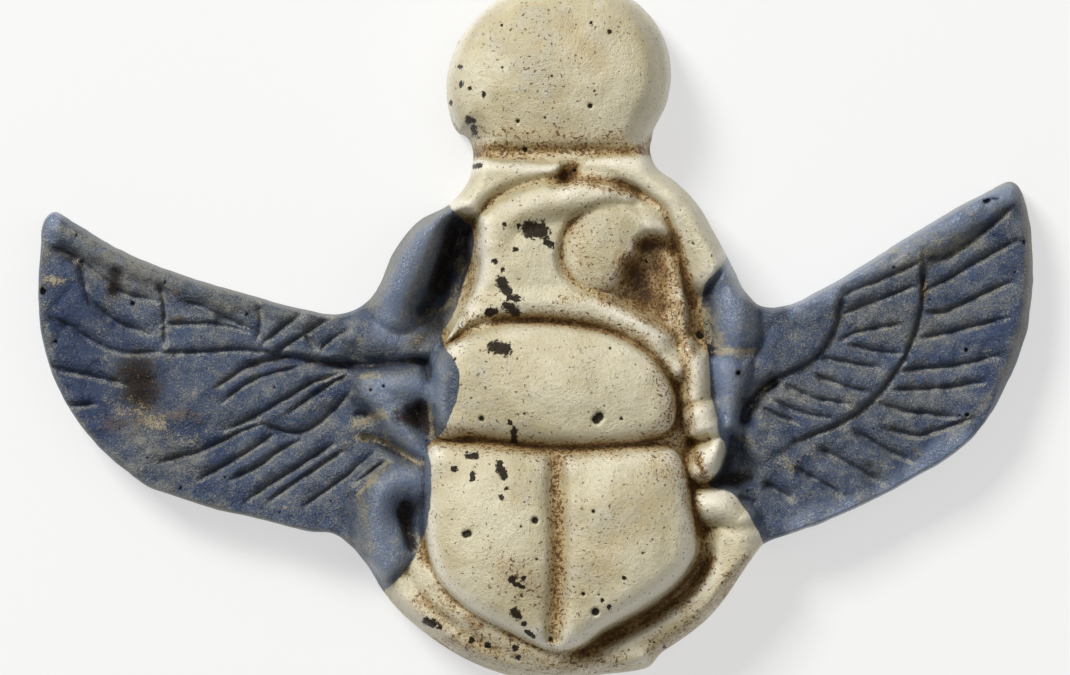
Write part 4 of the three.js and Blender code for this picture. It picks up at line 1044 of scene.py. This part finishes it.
bowl = add(bubbles, RANGE, {0: share, 1: PIT_RIM, 2: PIT_FLOOR}, interpolation_type="SMOOTHSTEP")
open_place = add(bubbles, RANGE, {0: upright, 1: TOO_STEEP, 2: LEVEL_OPEN})
bowl = fold(bubbles, "MULTIPLY", bowl, open_place)
depth = fold(bubbles, "MULTIPLY", bowl, size, given["Depth Ratio"])
marked = add(bubbles, "GeometryNodeStoreNamedAttribute", {0: given["Casting"], "Name": "bubble", 3: bowl})
pitted = sunk(bubbles, marked, depth)
facing = add(bubbles, VECTOR_MATH, {0: normal, 1: UPPER_LEFT}, operation="DOT_PRODUCT").outputs["Value"]
marked = add(bubbles, "GeometryNodeStoreNamedAttribute", {0: pitted, "Name": "facing", 3: facing})
run_tree(bubbles, given, marked, large_pits=pit_object, density=0.25 / MM ** 2, smallest=0.05 * MM,
         largest=0.13 * MM, depth_ratio=0.9, seed=11, glass=cast_glass)

casting.data = bpy.data.meshes.new_from_object(casting.evaluated_get(bpy.context.evaluated_depsgraph_get()))
casting.modifiers.clear()
casting.data.name = "winged_scarab_relief"
casting.data.shade_smooth()


def colour(code):
    """An sRGB hex colour as linear red, green, blue and alpha."""
    channels = [int(code[i:i + 2], 16) / 255 for i in (1, 3, 5)]
    return (*((c / 12.92 if c <= 0.04045 else ((c + 0.055) / 1.055) ** 2.4) for c in channels), 1)


# The glass: opaque antimony white gone cream, and cobalt blue, both cast in a mould and worn in the
# ground to a satin that keeps small sharp glints. Brown earth sits in the creases. A grey film and a
# tan crust lie on the blue, and where they have come off it shows darker and clean.
MEETING_WIDTH = 0.03
glass = cast_glass.node_tree
shader = glass.nodes["Principled BSDF"]
spot = add(glass, "ShaderNodeTexCoord").outputs["Object"]
noted = {
    name: add(glass, "ShaderNodeAttribute", attribute_name=name).outputs["Fac"]
    for name in ("blue_depth", "crease", "shelter", "flank", "facing", "bubble", "black_crust",
                 "brown_stain", "ochre_stain", "grey_film", "smooth_glass", "tan_crust", "clean_glass",
                 "hair_crack")
}
# Textures from wide clouds to dust, and the fine pores, by size in millimetres, detail and roughness.
# Real dust is finer than this one, which is as coarse as it needs to be to show.
clouds, mottle, grain, dust, pores = (
    add(glass, "ShaderNodeTexNoise",
        {"Vector": spot, "Scale": 1 / (size * MM), "Detail": detail, "Roughness": roughness})
    for size, detail, roughness in
    ((4, 3, 0.5), (0.9, 5, 0.65), (0.18, 4, 0.7), (0.07, 1, 0.5), (0.17, 1, 0.6))
)
chips = add(glass, "ShaderNodeTexVoronoi", {"Vector": spot, "Scale": 1 / (0.13 * MM)}).outputs["Color"]


def total(*parts):
    return fold(glass, "ADD", *parts)


def product(*factors):
    return fold(glass, "MULTIPLY", *factors)


def ramp(value, low, high, most=1, least=0):
    """How far a value has come from low to high, eased, between the least and the most."""
    return add(glass, RANGE, {0: value, 1: low, 2: high, 3: least, 4: most}, interpolation_type="SMOOTHSTEP")


def swing(texture, most):
    """A texture as a swing to both sides of zero."""
    return add(glass, RANGE, {0: texture, 3: -most, 4: most})


def layered(base, *layers):
    """A base colour with others laid over it in turn, each as far as its share says."""
    for share, code in layers:
        mixed = add(glass, "ShaderNodeMix", {0: share, 6: base, 7: colour(code)}, data_type="RGBA")
        base = mixed.outputs[2]
    return base


# Dirt gathers where the face lies below its surroundings and where it was noted.
# On the blue the same measure paints shade: the creases there go near black.
uneven = total(swing(mottle, 1.7), swing(grain, 1.8), swing(dust, 1.4))
dirt_and_crease_shade = total(ramp(noted["crease"], 0.01, 0.45, 1.4), ramp(noted["shelter"], 0.05, 0.9, 0.6),
             product(noted["brown_stain"], 2.3))
dirt_and_crease_shade = total(dirt_and_crease_shade, product(uneven, ramp(dirt_and_crease_shade, 0, 1, 1, 0.5)))

cloudy = ramp(clouds, 0.38, 0.62)
cream = layered(
    colour("#CEC5A6"),
    (cloudy, "#B9AC84"),
    (ramp(mottle, 0.5, 0.7, 0.5), "#D8D2BC"),
    (ramp(total(swing(clouds, 1), swing(mottle, 0.5)), 0.05, 0.4, 0.35), "#A5A397"),
    (ramp(grain, 0.5, 0.7, 0.3), "#A39068"),
    # Convex edges of the cream are painted lighter: a painted highlight.
    (ramp(noted["crease"], -0.03, -0.2, 0.7), "#EFE9D8"),
    (ramp(noted["ochre_stain"], 0, 1, 0.7), "#B39355"),
    (ramp(dirt_and_crease_shade, 0.2, 1.2, 0.75), "#A68650"),
    (ramp(dirt_and_crease_shade, 1, 2.5, 0.8), "#6B4A20"),
    (ramp(dirt_and_crease_shade, 2.1, 3.8, 0.85), "#2B1B0B"),
)

# On the blue the side of each furrow that faces the upper left, towards the main light, is lighter:
# pale dust with painted light. The other side is darkened with painted shade.
filmed = total(product(noted["grey_film"], 1.2), swing(mottle, 1.6))
filmed = fold(glass, "SUBTRACT", filmed, product(noted["smooth_glass"], 0.5), noted["clean_glass"])
ochre = total(noted["ochre_stain"], product(uneven, 0.5))
painted_furrow_shade = product(ramp(noted["flank"], 0.45, 0.95), ramp(noted["facing"], 0.1, -0.2, 0.55))
furrow_dust_and_painted_light = ramp(total(swing(dust, 2), swing(mottle, 1)), -0.5, 0.5, 0.75)
furrow_dust_and_painted_light = product(ramp(noted["flank"], 0.5, 0.8), ramp(noted["facing"], 0.12, 0.4), furrow_dust_and_painted_light)
crusted = total(noted["tan_crust"], product(uneven, 0.6))
blue = layered(
    colour("#364A6B"),
    (cloudy, "#2C3F5C"),
    (ramp(mottle, 0.45, 0.7, 0.5), "#4D6485"),
    (ramp(noted["clean_glass"], 0, 0.6, 0.7), "#2B3A59"),
    (ramp(noted["smooth_glass"], 0, 0.5, 0.85), "#61718B"),
    (ramp(noted["crease"], -0.02, -0.15, 0.4), "#78808A"),
    (ramp(total(filmed, swing(dust, 1.2)), -0.8, 1.3, 0.75), "#7B7A70"),
    (ramp(total(filmed, swing(dust, 5)), 0.5, 1.6, 0.45), "#9C9989"),
    # Creases on the blue go near black here: painted shade.
    (ramp(dirt_and_crease_shade, 0.5, 1.8, 0.7), "#16191F"),
    # Brown stains, and painted shade in the pit beside the left foreleg.
    (ramp(noted["brown_stain"], 0.05, 0.8, 0.75), "#261F17"),
    (ramp(ochre, 0.4, 1.1, 0.7), "#74572C"),
    (painted_furrow_shade, "#14161D"),
    (furrow_dust_and_painted_light, "#A9A697"),
    (ramp(crusted, 0.3, 0.9, 0.9), "#A79C80"),
)

# The two glasses meet in a sharp line that wavers a little. Over both lie dark specks of earth in the
# finest pores, hair cracks and black crusts that have eaten in, and the pits are painted dark as their
# shade.
edge = total(noted["blue_depth"], swing(mottle, 0.12))
in_blue = ramp(edge, -MEETING_WIDTH, MEETING_WIDTH)
both = add(glass, "ShaderNodeMix", {0: in_blue, 6: cream, 7: blue}, data_type="RGBA").outputs[2]
specks = ramp(total(pores, ramp(dirt_and_crease_shade, 0, 1.2, 0.14), swing(clouds, 0.09)), 0.66, 0.74, 0.8)
specks = product(specks, ramp(edge, MEETING_WIDTH, -MEETING_WIDTH, 1, 0.35))
cracked = product(noted["hair_crack"], ramp(grain, 0.4, 0.6))
crusty = total(noted["black_crust"], swing(chips, 0.2), swing(mottle, 0.35), swing(grain, 0.4))
crusty = ramp(crusty, 0.4, 0.56, 0.97)
surface = layered(
    both,
    (specks, "#4E3014"),
    (ramp(cracked, 0.2, 0.6, 0.6), "#6B5433"),
    (crusty, "#170F09"),
    (product(crusty, ramp(grain, 0.52, 0.62, 0.5)), "#4B3A28"),
    # Pits painted near black: painted shade.
    (ramp(noted["bubble"], 0.3, 0.8, 0.95), "#0A0705"),
)

# Smooth blue glass and the cream shine the most, and crusts, pits, specks, dirt and darkened creases
# hardly at all.
rough = add(glass, RANGE, {0: mottle, 1: 0.3, 2: 0.7, 3: 0.36, 4: 0.5})
rough = fold(glass, "SUBTRACT", rough, ramp(noted["smooth_glass"], 0, 0.5, 0.16))
rough = total(rough, ramp(crusted, 0.4, 0.75, 0.25))
sheen = total(noted["smooth_glass"], ramp(edge, MEETING_WIDTH, -MEETING_WIDTH, 0.4))
dull = fold(glass, "MAXIMUM", crusty, ramp(noted["bubble"], 0.1, 0.6), ramp(dirt_and_crease_shade, 0.6, 1.8, 0.85), specks)
sheen = product(ramp(sheen, 0, 0.5, 0.9, 0.5), fold(glass, "SUBTRACT", 1, product(dull, 0.9)))

# The blue is the coarser of the two, except where it was noted as smooth. Each bump's depth is in
# millimetres, and only the crusts' goes inwards.
coarse = ramp(fold(glass, "SUBTRACT", in_blue, noted["smooth_glass"]), 0, 1, 1, 0.45)
swells = ramp(edge, -MEETING_WIDTH, MEETING_WIDTH, 0.8, 0.45)
swells = product(ramp(noted["smooth_glass"], 0, 0.5, 0.3, 1), swells)
relief = {}
for texture, strength, depth, inward in (
    (dust, coarse, 0.06, False), (grain, coarse, 0.16, False), (mottle, swells, 0.2, False),
    (crusty, 1, 0.07, True),
):
    inputs = {"Height": texture, "Strength": strength, "Distance": depth * MM, **relief}
    relief = {"Normal": add(glass, "ShaderNodeBump", inputs, invert=inward).outputs[0]}
for name, value in (("Base Color", surface), ("Roughness", rough.outputs[0]),
                    ("Specular IOR Level", sheen.outputs[0]), ("Normal", relief["Normal"])):
    glass.links.new(value, shader.inputs[name])
shader.inputs["IOR"].default_value = 1.5

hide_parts("winged_scarab")
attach(casting, "root")

# Table and light: a plain pale top that glows a little, a soft main light from the upper left, a weak
# second one and an even glow from all around. Each light has its place and size in metres, and its
# power in watts.
TABLE_HALF = 1
TABLE_GLOW = 0.57
ROOM_GLOW = 0.24
LIGHTS = (("main_light", (-0.34, 0.41, 0.53), 0.23, 5.7), ("fill_light", (0.3, 0.1, 0.8), 0.5, 1))

table_corners = [(sx * TABLE_HALF, sy * TABLE_HALF, 0) for sx, sy in ((-1, -1), (1, -1), (1, 1), (-1, 1))]
floor_mesh = bpy.data.meshes.new("table_top")
floor_mesh.from_pydata(table_corners, [], [(0, 1, 2, 3)])
floor = bpy.data.objects.new("table_top", floor_mesh)
bpy.context.scene.collection.objects.link(floor)
light_table = bpy.data.materials.new("pale_light_table")
light_table.use_nodes = True
table_shader = light_table.node_tree.nodes["Principled BSDF"]
table_shader.inputs["Base Color"].default_value = colour("#9A9A98")
table_shader.inputs["Roughness"].default_value = 0.8
table_shader.inputs["Emission Color"].default_value = (1, 1, 1, 1)
table_shader.inputs["Emission Strength"].default_value = TABLE_GLOW
floor_mesh.materials.append(light_table)

world = bpy.data.worlds.new("studio")
world.use_nodes = True
background = world.node_tree.nodes["Background"]
background.inputs["Color"].default_value = (1, 1, 1, 1)
background.inputs["Strength"].default_value = ROOM_GLOW
bpy.context.scene.world = world
for name, place, size, watts in LIGHTS:
    light_data = bpy.data.lights.new(name, "AREA")
    light_data.energy = watts
    light_data.size = size
    light = bpy.data.objects.new(name, light_data)
    light.location = place
    light.rotation_euler = Vector(place).to_track_quat("Z", "Y").to_euler()
    bpy.context.scene.collection.objects.link(light)
bpy.context.scene.view_settings.view_transform = "Standard"
